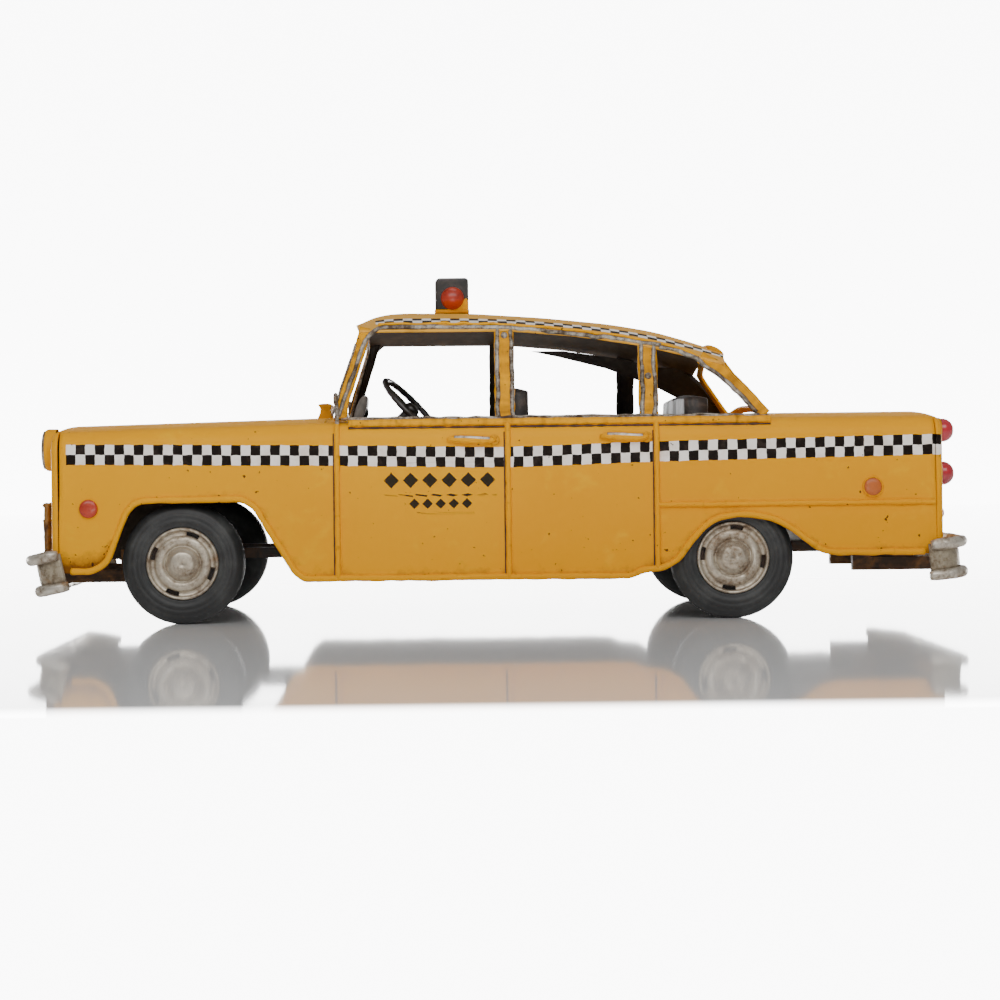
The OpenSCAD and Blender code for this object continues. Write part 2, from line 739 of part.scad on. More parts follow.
// Direction of a pinion's tooth that leaves a gap facing back along dir
function gap_facing(dir) = dir + 180 + 180 / pinion_teeth;

module drive_gear() {
    color(BRASS) difference() {
        union() {
            gear(rear_axle, gear_teeth, lay_dir, 4, 8);
            shaft_along_y(rear_axle, 4.5, 8, 11);
        }
        shaft_along_y(rear_axle, axle_r, 0, 20);
    }
}

module layshaft() {
    color(BRASS) {
        shaft_along_y(layshaft_at, shaft_r, -shaft_half_l, shaft_half_l);
        gear(layshaft_at, pinion_teeth, gap_facing(lay_dir), 3.5, 8.5);
        gear(layshaft_at, gear_teeth, fly_dir, -10, -7);
    }
}

module flywheel() {
    color(STEEL) translate([flywheel_at[0], 3, flywheel_at[2]]) rotate([90, 0, 0])
        rotate_extrude($fn = 96) polygon([[shaft_r, 0], [4, 0], [4, 1.6], [10.4, 1.6], [10.4, 0],
                                          [flywheel_r, 0], [flywheel_r, 5], [10.4, 5], [10.4, 3.4],
                                          [4, 3.4], [4, 6], [shaft_r, 6]]);
}

module flywheel_shaft() {
    color(STEEL) {
        shaft_along_y(flywheel_at, shaft_r, -shaft_half_l, shaft_half_l);
        gear(flywheel_at, pinion_teeth, gap_facing(fly_dir), -10.5, -6.5);
    }
}

left_side_panel();
right_side_panel();
hood();
cowl_panel();
cowl_vent();
rear_deck();
front_panel();
rear_panel();
floor_pan();
left_chassis_rail();
right_chassis_rail();
left_body_beading();
right_body_beading();
left_belt_moulding();
right_belt_moulding();
door_handles();
roof();
a_pillars();
b_pillars();
c_pillars();
rear_pillars();
windscreen_frame();
rear_window_frame();
roof_sign();
roof_sign_lenses();
headlight_bezels();
headlight_lenses();
grille();
front_bumper();
rear_bumper();
bumper_brackets();
tail_lamps();
rear_reflectors();
front_side_markers();
rear_side_markers();
door_mirrors();
dashboard();
instrument_hood();
steering_column();
steering_wheel();
front_seat_base();
front_seat_back();
rear_seat_base();
rear_seat_back();
front_axle_hangers();
front_axle_shaft();
front_left_tyre();
front_right_tyre();
rear_left_tyre();
rear_right_tyre();
front_left_wheel();
front_right_wheel();
rear_left_wheel();
rear_right_wheel();
rear_axle_shaft();
motor_plates();
drive_gear();
layshaft();
flywheel();
flywheel_shaft();
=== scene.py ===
"""Looks of a handmade tinplate taxi sedan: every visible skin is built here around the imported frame."""
import math

import bmesh
import bpy
import numpy as np
from mathutils import Matrix, Vector, geometry


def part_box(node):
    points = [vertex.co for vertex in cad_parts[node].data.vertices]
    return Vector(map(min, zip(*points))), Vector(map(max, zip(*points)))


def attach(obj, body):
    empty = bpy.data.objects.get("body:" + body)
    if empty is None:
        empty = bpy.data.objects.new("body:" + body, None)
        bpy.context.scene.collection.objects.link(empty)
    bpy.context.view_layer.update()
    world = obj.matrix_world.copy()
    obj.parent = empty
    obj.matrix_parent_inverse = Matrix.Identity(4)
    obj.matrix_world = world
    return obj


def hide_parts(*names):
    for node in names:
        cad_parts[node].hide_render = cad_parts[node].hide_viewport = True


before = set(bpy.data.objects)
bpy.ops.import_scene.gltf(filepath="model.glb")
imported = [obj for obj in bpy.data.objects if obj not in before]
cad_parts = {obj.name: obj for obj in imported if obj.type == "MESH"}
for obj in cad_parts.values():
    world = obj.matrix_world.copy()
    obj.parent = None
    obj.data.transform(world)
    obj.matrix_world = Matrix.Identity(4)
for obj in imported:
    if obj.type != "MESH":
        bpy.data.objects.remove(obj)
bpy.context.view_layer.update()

MM = 0.001
BODY = "car_body"


def box_mm(node):
    """Lowest and highest corner of a CAD node in millimetres."""
    low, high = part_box(node)
    return np.array(low) / MM, np.array(high) / MM


# ---- sizes in millimetres, taken from the frame where a node gives them ----
HALF_W = box_mm("front_panel")[1][1]
NOSE_X = box_mm("front_panel")[0][0]
TAIL_X = box_mm("rear_panel")[1][0]
SHOULDER_R = 8.6
CORE_Y = HALF_W - SHOULDER_R
CORNER_R = 3.0
CORE_X0 = NOSE_X + CORNER_R
CORE_X1 = TAIL_X - CORNER_R
BELT_Z = box_mm("left_side_panel")[1][2]
COWL_X = box_mm("cowl_panel")[0][0]
CABIN_X0 = box_mm("cowl_panel")[1][0]
CABIN_X1 = box_mm("rear_deck")[0][0]
CROWN = box_mm("rear_deck")[1][2] - BELT_Z
HOOD_DROP = 2.6
SHEET = 1.0
BEAD_W = 2.6
BEAD_H = 1.5
TYRE_R = box_mm("front_left_tyre")[1][2] / 2
FLIP = np.array([1, -1, 1])


# ---- small geometry helpers ----

def lerp_keys(x, keys):
    """Linear interpolation through (x, value) pairs."""
    return np.interp(x, [k[0] for k in keys], [k[1] for k in keys])


def smooth_keys(x, keys, reach=4.0):
    """lerp_keys, rounded off at its corners over +-reach."""
    offsets = np.linspace(-reach, reach, 7)
    return np.mean([lerp_keys(np.asarray(x) + o, keys) for o in offsets], axis=0)


def smoothstep(a, b, x):
    t = np.clip((np.asarray(x) - a) / (b - a), 0, 1)
    return t * t * (3 - 2 * t)


def rounded_path(points, radius, step=1.2):
    """A polyline through the points with each corner rounded, resampled about every step."""
    pts = [np.array(p, float) for p in points]
    out = [pts[0]]
    for i in range(1, len(pts) - 1):
        a, b, c = pts[i - 1], pts[i], pts[i + 1]
        reach = min(radius, np.linalg.norm(b - a) * 0.45, np.linalg.norm(c - b) * 0.45)
        p0 = b + (a - b) / np.linalg.norm(a - b) * reach
        p1 = b + (c - b) / np.linalg.norm(c - b) * reach
        for t in np.linspace(0, 1, 6):
            out.append((1 - t) ** 2 * p0 + 2 * t * (1 - t) * b + t * t * p1)
    out.append(pts[-1])
    return resample(out, step)


def resample(points, step):
    pts = np.array(points, float)
    seg = np.linalg.norm(np.diff(pts, axis=0), axis=1)
    keep = np.concatenate([[True], seg > 1e-6])
    pts = pts[keep]
    run = np.concatenate([[0], np.cumsum(np.linalg.norm(np.diff(pts, axis=0), axis=1))])
    count = max(2, int(round(run[-1] / step)) + 1)
    at = np.linspace(0, run[-1], count)
    return np.stack([np.interp(at, run, pts[:, k]) for k in range(pts.shape[1])], axis=1)


def waviness(count, seed, scale=0.1, passes=3):
    """Smooth random values around 0, as a hand-soldered bead has."""
    values = np.random.default_rng(seed).normal(0, 1, count)
    for _ in range(passes):
        values = np.convolve(np.pad(values, 1, mode="edge"), [0.25, 0.5, 0.25], mode="valid")
    return values * scale


def make_object(name, verts, faces, material, body=BODY, slot=None, smooth=True, replaces=(), inner=None):
    """A mesh from millimetre points that rides on a body; inner is the material of its back faces."""
    mesh = bpy.data.meshes.new(name)
    mesh.from_pydata([tuple(float(c) * MM for c in v) for v in verts], [], [tuple(f) for f in faces])
    mesh.materials.append(material)
    if inner is not None:
        mesh.materials.append(inner)
    mesh.update()
    obj = bpy.data.objects.new(name, mesh)
    bpy.context.scene.collection.objects.link(obj)
    if smooth:
        mesh.polygons.foreach_set("use_smooth", [True] * len(mesh.polygons))
    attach(obj, body)
    if replaces:
        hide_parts(*replaces)
    return obj


def add_modifier(obj, kind, **values):
    mod = obj.modifiers.new(kind.title(), kind)
    for key, value in values.items():
        setattr(mod, key, value)
    return mod


def thicken(obj, thickness, inner=False):
    """Gives a skin its sheet thickness, inwards; with inner set its back takes the second material, and its
    rim keeps the first.
    """
    add_modifier(obj, "SOLIDIFY", thickness=thickness * MM, offset=-1, use_even_offset=False,
                 material_offset=1 if inner else 0, material_offset_rim=0)


def add_attribute(obj, name, values):
    """Stores one number or vector for each vertex, for the materials to read."""
    values = np.asarray(values, np.float32)
    kind = "FLOAT" if values.ndim == 1 else "FLOAT_VECTOR"
    layer = obj.data.attributes.new(name, kind, "POINT")
    layer.data.foreach_set("value" if kind == "FLOAT" else "vector", values.ravel())


def even_wear(obj, value):
    """The same wear all over a piece."""
    add_attribute(obj, "wear", np.full(len(obj.data.vertices), value))


def grid_faces(nu, nv, wrap_u=False, wrap_v=False):
    faces = []
    for i in range(nu if wrap_u else nu - 1):
        for j in range(nv if wrap_v else nv - 1):
            a, b = i * nv + j, ((i + 1) % nu) * nv + j
            c, d = ((i + 1) % nu) * nv + (j + 1) % nv, i * nv + (j + 1) % nv
            faces.append((a, b, c, d))
    return faces


def sweep(path, normals, section, close_ends=True, scale=None):
    """Verts and faces of a section [(across, out)] carried along path, out along normals."""
    path = np.array(path, float)
    normals = np.array(normals, float)
    tangent = np.gradient(path, axis=0)
    tangent /= np.linalg.norm(tangent, axis=1)[:, None]
    across = np.cross(normals, tangent)
    across /= np.linalg.norm(across, axis=1)[:, None]
    size = np.ones(len(path)) if scale is None else np.asarray(scale)
    verts = [p + size[i] * (a * across[i] + o * normals[i])
             for i, p in enumerate(path) for a, o in section]
    faces = grid_faces(len(path), len(section), wrap_v=True)
    if close_ends:
        n = len(section)
        faces.append(tuple(range(n)))
        faces.append(tuple(reversed(range((len(path) - 1) * n, len(path) * n))))
    return verts, faces


def half_round(width, height, points=9, sink=0.5):
    """Section of a bead: a low arch with a flat foot sunk a little into the sheet."""
    top = [(-math.cos(a) * width / 2, math.sin(a) * height) for a in np.linspace(0, math.pi, points)]
    return [(-width / 2, -sink)] + top + [(width / 2, -sink)]


def merged(parts):
    """Joins lists of (verts, faces) into one."""
    verts, faces = [], []
    for v, f in parts:
        base = len(verts)
        verts.extend(v)
        faces.extend(tuple(i + base for i in face) for face in f)
    return verts, faces


def lathe(profile, segments=96, axis="y", centre=(0, 0, 0)):
    """Turns [(radius, along)] about an axis through centre; along points to the axis's + side."""
    verts = []
    for k in range(segments):
        a = 2 * math.pi * k / segments
        for r, t in profile:
            c, s = r * math.cos(a), r * math.sin(a)
            p = {"x": (t, c, s), "y": (c, t, s), "z": (c, s, t)}[axis]
            verts.append(np.array(p) + np.array(centre))
    return verts, grid_faces(segments, len(profile), wrap_u=True)


def oval_section(across, out, sides):
    """Section of a round or oval bar from its two half widths."""
    return [(across * math.cos(a), out * math.sin(a)) for a in np.linspace(0, 2 * math.pi, sides + 1)[:-1]]


def tidy(obj, merge=0.02):
    """Welds doubled points, drops what has no area and turns all faces outward."""
    bm = bmesh.new()
    bm.from_mesh(obj.data)
    bmesh.ops.remove_doubles(bm, verts=bm.verts, dist=merge * MM)
    bmesh.ops.dissolve_degenerate(bm, edges=bm.edges, dist=1e-7)
    bmesh.ops.recalc_face_normals(bm, faces=bm.faces)
    bm.to_mesh(obj.data)
    bm.free()
    obj.data.polygons.foreach_set("use_smooth", [True] * len(obj.data.polygons))
    return obj


# ---- materials ----

class Nodes:
    """Short names for the shader nodes of one material."""

    def __init__(self, name):
        self.material = bpy.data.materials.new(name)
        self.material.use_nodes = True
        self.tree = self.material.node_tree
        self.shader = self.tree.nodes["Principled BSDF"]
        self.coords = self.tree.nodes.new("ShaderNodeTexCoord").outputs["Object"]

    def put(self, socket, value):
        if isinstance(value, bpy.types.NodeSocket):
            self.tree.links.new(value, socket)
        elif isinstance(value, tuple) and len(value) == 3 and socket.type == "RGBA":
            socket.default_value = (*value, 1)
        else:
            socket.default_value = value

    def math(self, kind, a, b=0.0, clamp=False):
        node = self.tree.nodes.new("ShaderNodeMath")
        node.operation = kind
        node.use_clamp = clamp
        self.put(node.inputs[0], a)
        self.put(node.inputs[1], b)
        return node.outputs[0]

    def plus(self, a, b):
        return self.math("ADD", a, b)

    def minus(self, a, b):
        return self.math("SUBTRACT", a, b)

    def times(self, a, b, clamp=False):
        return self.math("MULTIPLY", a, b, clamp)

    def mix(self, factor, a, b):
        node = self.tree.nodes.new("ShaderNodeMix")
        node.data_type = "RGBA"
        self.put(node.inputs[0], factor)
        self.put(node.inputs[6], a)
        self.put(node.inputs[7], b)
        return node.outputs[2]

    def noise(self, scale, detail=3.0, rough=0.55, stretch=None, distort=0.0):
        node = self.tree.nodes.new("ShaderNodeTexNoise")
        node.inputs["Scale"].default_value = scale
        node.inputs["Detail"].default_value = detail
        node.inputs["Roughness"].default_value = rough
        node.inputs["Distortion"].default_value = distort
        coords = self.coords
        if stretch:
            mapping = self.tree.nodes.new("ShaderNodeMapping")
            mapping.inputs["Scale"].default_value = stretch
            self.put(mapping.inputs["Vector"], coords)
            coords = mapping.outputs["Vector"]
        self.put(node.inputs["Vector"], coords)
        return node.outputs["Fac"]

    def step(self, value, low, high):
        node = self.tree.nodes.new("ShaderNodeMapRange")
        node.interpolation_type = "SMOOTHSTEP"
        self.put(node.inputs["Value"], value)
        self.put(node.inputs["From Min"], low)
        self.put(node.inputs["From Max"], high)
        return node.outputs["Result"]

    def attribute(self, name, out="Fac"):
        node = self.tree.nodes.new("ShaderNodeAttribute")
        node.attribute_name = name
        return node.outputs[out]

    def split(self, vector):
        node = self.tree.nodes.new("ShaderNodeSeparateXYZ")
        self.put(node.inputs[0], vector)
        return node.outputs

    def bump(self, *layers):
        """Adds (height, strength, distance in mm) layers on top of each other."""
        normal = None
        for height, strength, distance in layers:
            node = self.tree.nodes.new("ShaderNodeBump")
            node.inputs["Strength"].default_value = strength
            node.inputs["Distance"].default_value = distance * MM
            self.put(node.inputs["Height"], height)
            if normal is not None:
                self.put(node.inputs["Normal"], normal)
            normal = node.outputs["Normal"]
        self.put(self.shader.inputs["Normal"], normal)

    def set(self, **values):
        for name, value in values.items():
            self.put(self.shader.inputs[name.replace("_", " ")], value)
        return self.material


YELLOW = (0.86, 0.385, 0.0)
YELLOW_DEEP = (0.80, 0.335, 0.0)
YELLOW_PALE = (0.88, 0.43, 0.004)
RUST = (0.16, 0.055, 0.012)
RUST_DARK = (0.035, 0.014, 0.008)
STRIPE_BLACK = (0.012, 0.008, 0.006)
STRIPE_WHITE = (1.0, 0.93, 0.86)


def enamel(name, stripes=False, mark=False, pale=0.0, worn=1.0):
    """Aged yellow enamel on tin: brown patina where the "wear" attribute is high, dark specks, dents."""
    m = Nodes(name)
    broad = m.noise(9, 2)
    fine = m.noise(260, 4, 0.7)
    blotch = m.noise(60, 5, 0.65, distort=0.4)
    colour = m.mix(m.step(broad, 0.35, 0.7), YELLOW, YELLOW_DEEP)
    colour = m.mix(m.step(blotch, 0.55, 0.8), colour, YELLOW_PALE)
    # pale lightens the enamel toward pale tan: painted light on a top surface
    if pale:
        colour = m.mix(pale, colour, (0.80, 0.50, 0.16))
    wear = m.attribute("wear")
    if stripes:
        uv = m.split(m.attribute("stripe", "Vector"))
        wobble = m.times(m.minus(m.noise(300, 1), 0.5), 0.16)
        u = m.plus(uv[0], wobble)
        v = m.plus(uv[1], wobble)
        cells = m.plus(m.math("FLOOR", u), m.math("FLOOR", v))
        odd = m.math("ABSOLUTE", m.math("MODULO", cells, 2.0))
        inside = m.times(m.math("LESS_THAN", m.math("ABSOLUTE", m.minus(v, 1.0)), 1.0),
                         m.math("GREATER_THAN", uv[2], 0.5))
        white = m.mix(m.step(m.noise(90, 4, 0.7), 0.45, 0.75), STRIPE_WHITE, (0.8, 0.7, 0.6))
        black = m.mix(m.step(m.noise(220, 3), 0.5, 0.8), STRIPE_BLACK, (0.04, 0.028, 0.022))
        colour = m.mix(inside, colour, m.mix(odd, black, white))
    if mark:
        uv = m.split(m.attribute("mark", "Vector"))
        edge = m.times(m.minus(m.noise(500, 2), 0.5), 0.1)
        lozenge = m.plus(m.math("ABSOLUTE", m.minus(m.math("FRACT", uv[0]), 0.5)),
                         m.math("ABSOLUTE", m.plus(uv[1], edge)))
        ink = m.times(m.math("LESS_THAN", lozenge, 0.4), uv[2])
        colour = m.mix(ink, colour, (0.03, 0.022, 0.012))
    grime = m.plus(m.times(wear, 1.25), m.times(m.minus(blotch, 0.5), 1.5))
    grime = m.plus(grime, m.times(m.minus(fine, 0.5), 0.9))
    light = m.times(m.step(grime, 0.35, 1.0), 0.72 * worn, clamp=True)
    heavy = m.times(m.step(grime, 0.85, 1.45), 0.85 * worn, clamp=True)
    colour = m.mix(light, colour, (0.42, 0.17, 0.012))
    colour = m.mix(heavy, colour, RUST)
    chips = m.step(m.plus(m.noise(420, 2, 0.5), m.times(wear, 0.07)), 0.735, 0.765)
    colour = m.mix(m.times(chips, 0.9), colour, RUST_DARK)
    rough = m.plus(0.4, m.times(m.math("MAXIMUM", light, heavy), 0.35))
    rough = m.plus(rough, m.times(m.minus(m.noise(130, 4), 0.5), 0.16))
    m.bump((m.noise(14, 2), 0.35, 3.0), (m.noise(170, 3), 0.12, 0.5), (m.minus(1.0, heavy), 0.25, 0.12))
    m.shader.inputs["Specular IOR Level"].default_value = 0.16
    m.shader.inputs["IOR"].default_value = 1.3
    return m.set(Base_Color=colour, Roughness=rough)


def worn_silver(name, bright=(0.46, 0.42, 0.35), dark=(0.07, 0.045, 0.025), soil=0.5, metallic=0.4,
                scale=1.0):
    """Silver paint rubbed over brown: streaky, with darker hollows."""
    m = Nodes(name)
    large = m.noise(45 * scale, 5, 0.65, distort=0.6)
    small = m.noise(330 * scale, 4, 0.7)
    value = m.plus(m.times(large, 0.65), m.times(small, 0.35))
    colour = m.mix(m.step(value, soil - 0.12, soil + 0.14), dark, bright)
    colour = m.mix(m.step(m.noise(80 * scale, 3), 0.6, 0.8), colour, (0.3, 0.17, 0.07))
    rough = m.minus(0.62, m.times(m.step(value, 0.4, 0.6), 0.28))
    m.bump((large, 0.4, 0.5), (small, 0.35, 0.25))
    return m.set(Base_Color=colour, Roughness=rough, Metallic=metallic)


def plain_worn(name, colour, other, rough=0.5, scale=120, bump=0.3, metallic=0.0, coat=0.0, depth=0.3):
    """A mottled finish between two colours with a fine uneven surface."""
    m = Nodes(name)
    blotch = m.noise(scale, 5, 0.65, distort=0.3)
    fine = m.noise(scale * 5, 3)
    mixed = m.mix(m.step(blotch, 0.42, 0.68), colour, other)
    spread = m.plus(rough - 0.08, m.times(fine, 0.16))
    m.bump((blotch, bump, depth), (fine, bump, depth * 0.4))
    m.shader.inputs["Coat Weight"].default_value = coat
    m.shader.inputs["Coat Roughness"].default_value = 0.08
    return m.set(Base_Color=mixed, Roughness=spread, Metallic=metallic)


def leather(name):
    """Dark creased hide: cell-like grain, larger wrinkles, and lighter brown on the crests as a painted
    highlight.
    """
    m = Nodes(name)
    grain = m.tree.nodes.new("ShaderNodeTexVoronoi")
    grain.feature = "DISTANCE_TO_EDGE"
    grain.inputs["Scale"].default_value = 650
    m.put(grain.inputs["Vector"], m.coords)
    crease = m.noise(110, 4, 0.6, distort=1.2)
    # the crests of the creases go lighter brown: a painted highlight
    colour = m.mix(m.step(crease, 0.45, 0.7), (0.028, 0.022, 0.018), (0.09, 0.062, 0.045))
    m.bump((crease, 0.7, 0.8), (grain.outputs["Distance"], 0.5, 0.15))
    m.shader.inputs["Sheen Weight"].default_value = 0.12
    return m.set(Base_Color=colour, Roughness=m.plus(0.42, m.times(crease, 0.2)))


def rubber(name):
    """Matt black rubber with a grey bloom and faint moulding rings."""
    m = Nodes(name)
    dust = m.noise(70, 5, 0.6)
    colour = m.mix(m.step(dust, 0.4, 0.75), (0.018, 0.019, 0.019), (0.05, 0.052, 0.05))
    m.bump((m.noise(900, 2), 0.25, 0.08), (dust, 0.25, 0.25))
    return m.set(Base_Color=colour, Roughness=m.plus(0.42, m.times(dust, 0.25)))


def metal(name, colour, rough, scale=200):
    """Bare machined metal with fine turning marks."""
    m = Nodes(name)
    marks = m.noise(scale, 3, 0.6, stretch=(1, 9, 1))
    tint = m.mix(m.step(marks, 0.3, 0.75), colour, tuple(c * 0.72 for c in colour))
    m.bump((marks, 0.2, 0.08))
    return m.set(Base_Color=tint, Roughness=m.plus(rough, m.times(marks, 0.12)), Metallic=1.0)


def clear_lens(name):
    """Pressed glass of a headlight, milky and faintly ribbed."""
    m = Nodes(name)
    ribs = m.noise(160, 1, stretch=(1, 1, 0.05))
    tint = m.mix(ribs, (0.78, 0.78, 0.72), (0.6, 0.58, 0.52))
    m.bump((ribs, 0.5, 0.3))
    return m.set(Base_Color=tint, Roughness=m.plus(0.08, m.times(ribs, 0.1)), Metallic=0.35)


PAINT = enamel("yellow_enamel")
PAINT_SIDE = enamel("yellow_enamel_side", stripes=True, mark=True)
# the roof's enamel is lightened toward pale tan as painted top light
PAINT_ROOF = enamel("yellow_enamel_roof", stripes=True, pale=0.35)
PAINT_BEAD = enamel("yellow_enamel_bead", worn=0.7)
INNER = plain_worn("brown_inside", (0.075, 0.055, 0.038), (0.12, 0.088, 0.06), 0.7, 60)
# a darker copy of the inside brown: painted shade for faces inside the cabin
INNER_SHADED = plain_worn("shaded_inside", (0.03, 0.022, 0.016), (0.055, 0.04, 0.028), 0.65, 80)
SILVER = worn_silver("worn_silver", scale=2.2)
SILVER_BRIGHT = worn_silver("bumper_silver", (0.66, 0.61, 0.52), (0.2, 0.135, 0.075), 0.46, 0.7, 1.4)
WHEEL_SILVER = worn_silver("wheel_silver", (0.56, 0.50, 0.40), (0.16, 0.10, 0.055), 0.46, 0.8, 1.2)
WEB = worn_silver("bumper_web", (0.42, 0.36, 0.26), (0.12, 0.075, 0.035), 0.48, 0.35, 1.6)
CHASSIS = plain_worn("chassis_brown", (0.035, 0.026, 0.02), (0.09, 0.045, 0.02), 0.55, 90)
STRAP = plain_worn("strap_brown", (0.07, 0.035, 0.016), (0.26, 0.115, 0.03), 0.6, 80)
# dark lines: painted shadow beside the door beads and in the belt gap, with patina at the doors
SHADOW_AND_PATINA_LINE = plain_worn("door_gap", (0.05, 0.024, 0.01), (0.12, 0.06, 0.02), 0.7, 200)
BLACK = plain_worn("black_enamel", (0.016, 0.013, 0.011), (0.05, 0.036, 0.026), 0.38, 110, coat=0.3)
GREY = plain_worn("grey_tin", (0.16, 0.14, 0.12), (0.27, 0.24, 0.21), 0.5, 140, metallic=0.3)
GILT = plain_worn("worn_gilt", (0.34, 0.17, 0.045), (0.09, 0.04, 0.016), 0.5, 150, 0.5, metallic=0.5)
RED = plain_worn("red_enamel", (0.46, 0.035, 0.008), (0.3, 0.02, 0.006), 0.35, 130, 0.25, coat=0.25)
CRIMSON = plain_worn("crimson_enamel", (0.52, 0.018, 0.03), (0.34, 0.01, 0.02), 0.25, 130, 0.2, coat=0.8)
ORANGE = plain_worn("orange_enamel", (0.50, 0.115, 0.012), (0.34, 0.075, 0.01), 0.4, 130, 0.35, coat=0.1)
HIDE = leather("dark_leather")
RUBBER = rubber("tyre_rubber")
STEEL = metal("plain_steel", (0.55, 0.54, 0.52), 0.3)
BRASS = metal("cut_brass", (0.72, 0.52, 0.22), 0.3)
GLASS = clear_lens("lamp_glass")


# ---- lower body: one rounded box, from which each sheet takes its own stretch ----

def core_z(x):
    """Height of the shoulder's centre line; the hood falls away ahead of the cowl."""
    ahead = np.clip((COWL_X - np.asarray(x, float)) / (COWL_X - NOSE_X), 0, 1.1)
    return BELT_Z - SHOULDER_R - HOOD_DROP * ahead


def crown_z(y):
    return CROWN * (1 - (np.clip(np.abs(y) / CORE_Y, 0, 1)) ** 2)


def side_point(x, s, out=0.0):
    """Point of the driver's side: s is the height, and goes on round the shoulder; out is outward."""
    x, s = np.broadcast_arrays(np.asarray(x, float), np.asarray(s, float))
    zc = core_z(x)
    phi = np.clip((s - zc) / SHOULDER_R, 0, math.pi / 2)
    flat = HALF_W - 0.5 * ((np.minimum(s, zc) - 52) / 30) ** 2
    y = CORE_Y + (flat - CORE_Y + out) * np.cos(phi)
    z = np.minimum(s, zc) + (SHOULDER_R + out) * np.sin(phi)
    return np.stack([x, -y, z], axis=-1)


def side_normal(x, s):
    phi = np.clip((np.asarray(s, float) - core_z(x)) / SHOULDER_R, 0, math.pi / 2)
    return np.stack([np.zeros_like(phi), -np.cos(phi), np.sin(phi)], axis=-1)


FRONT_ARCH = [(-171.5, 23.4), (-166, 27.5), (-157.9, 48.3), (-154.0, 52.4), (-150, 53.2),
              (-108.6, 53.5), (-103.2, 50.4), (-86, 21.8), (-82.6, 19.2)]
REAR_ARCH = [(69.5, 21.9), (76.3, 25.2), (82.9, 34.3), (89.2, 41), (95.8, 43.7), (104.7, 44.8),
             (115.4, 43.3), (122.4, 40.4), (132.4, 33), (139.8, 28)]
LOWER = rounded_path([(-181.6, 23.4)] + FRONT_ARCH + [(57, 19), (61.5, 21.6)] + REAR_ARCH
                     + [(181.6, 27.9)], 4.0)
FRONT_LIP_Z = 22.3
REAR_LIP_Z = 26.8
DOOR_LINES = (-67.9, 4.8, 68.1)
RIB_Z = 49.0
STRIPE_KEYS = [(-182.6, 77.4), (-69, 75.7), (4, 74.1), (67, 75.9), (188, 77.7)]
STRIPE_X0 = -183.2
STRIPE_X1 = 189.3
STRIPE_CELLS = 90
CELL = (STRIPE_X1 - STRIPE_X0) / STRIPE_CELLS


def side_lines():
    """The beads of one side as (name, path in x and s, width)."""
    lines = [("sill_bead", LOWER, BEAD_W + 0.2)]
    for k, x in enumerate(DOOR_LINES):
        foot = float(lerp_keys(x, [(p[0], p[1]) for p in LOWER]))
        top = float(core_z(x)) + SHOULDER_R * 1.02
        lines.append(("door_bead_%d" % k, resample([(x, foot), (x, top)], 1.2), BEAD_W - 0.2))
    lines.append(("rear_rib", resample([(68.1, RIB_Z), (TAIL_X - 3.6, RIB_Z)], 1.2), BEAD_W - 0.2))
    return lines


def distance_to(points, path):
    d = np.full(len(points), 1e9)
    for k in range(0, len(path), 60):
        part = path[k:k + 60]
        d = np.minimum(d, np.min(np.linalg.norm(points[:, None] - part[None], axis=2), axis=1))
    return d


def filled(outline, spacing):
    """Triangles that fill an outline, with inner points on a grid of the given spacing."""
    outline = np.array(outline, float)
    low, high = outline.min(0), outline.max(0)
    gx = np.arange(low[0] + spacing / 2, high[0], spacing)
    gy = np.arange(low[1] + spacing / 2, high[1], spacing)
    inner = np.array([(a, b) for a in gx for b in gy])
    inner = inner[distance_to(inner, outline) > spacing * 0.55]
    n = len(outline)
    verts = [Vector(p) for p in np.concatenate([outline, inner])]
    edges = [(i, (i + 1) % n) for i in range(n)]
    out = geometry.delaunay_2d_cdt(verts, edges, [list(range(n))], 1, 1e-5)
    return np.array([tuple(v) for v in out[0]]), [tuple(f) for f in out[2]]


def stripe_uv(x, z):
    """Column, row and presence of the squared stripe at a point of the side."""
    top = smooth_keys(x, STRIPE_KEYS, 14)
    on = ((np.asarray(x) > STRIPE_X0 - 0.5) & (np.asarray(x) < STRIPE_X1)).astype(float)
    return np.stack([(np.asarray(x) - STRIPE_X0) / CELL, 2 - (top - z) / (CELL * 1.04), on], axis=-1)


MARK_ROWS = ((-49, 60.5, 8.2, 6), (-38, 50.5, 5.6, 5))


def mark_uv(x, z):
    """Rows of plain lozenges painted on the front door: column, height and presence."""
    uv = np.zeros((len(x), 3))
    for left, middle, size, count in MARK_ROWS:
        inside = (np.abs(z - middle) < size * 0.75)
        u = (x - left) / size
        uv[inside, 0] = u[inside]
        uv[inside, 1] = ((z - middle) / size)[inside]
        uv[inside, 2] = ((u > 0) & (u < count))[inside]
    return uv


def side_wear(flat):
    """How worn the paint is: along the beads, under the arches and towards the lower edge."""
    wear = 0.62 * np.exp(-distance_to(flat, LOWER) / 3.2)
    for x in DOOR_LINES:
        wear += 0.42 * np.exp(-np.abs(flat[:, 0] - x) / 1.9)
    rib = np.where(flat[:, 0] > 68, np.abs(flat[:, 1] - RIB_Z), 99)
    wear += 0.38 * np.exp(-rib / 1.8)
    low = 0.45 * (1 - smoothstep(20, 36, flat[:, 1]))
    wear += low * (1.5 * smoothstep(-150, -175, flat[:, 0]) + 0.8 * smoothstep(135, 175, flat[:, 0]) + 0.25)
    corner = np.hypot((flat[:, 0] + 150) / 1.6, flat[:, 1] - 24)
    wear += 0.85 * np.exp(-(corner / 11) ** 2)
    wear += 0.25 * np.exp(-(flat[:, 0] - NOSE_X) / 4.0) + 0.3 * np.exp(-(TAIL_X - flat[:, 0]) / 3.0)
    wear += 0.3 * np.exp(-np.abs(flat[:, 1] - core_z(flat[:, 0]) - 12) / 2.0)
    return wear


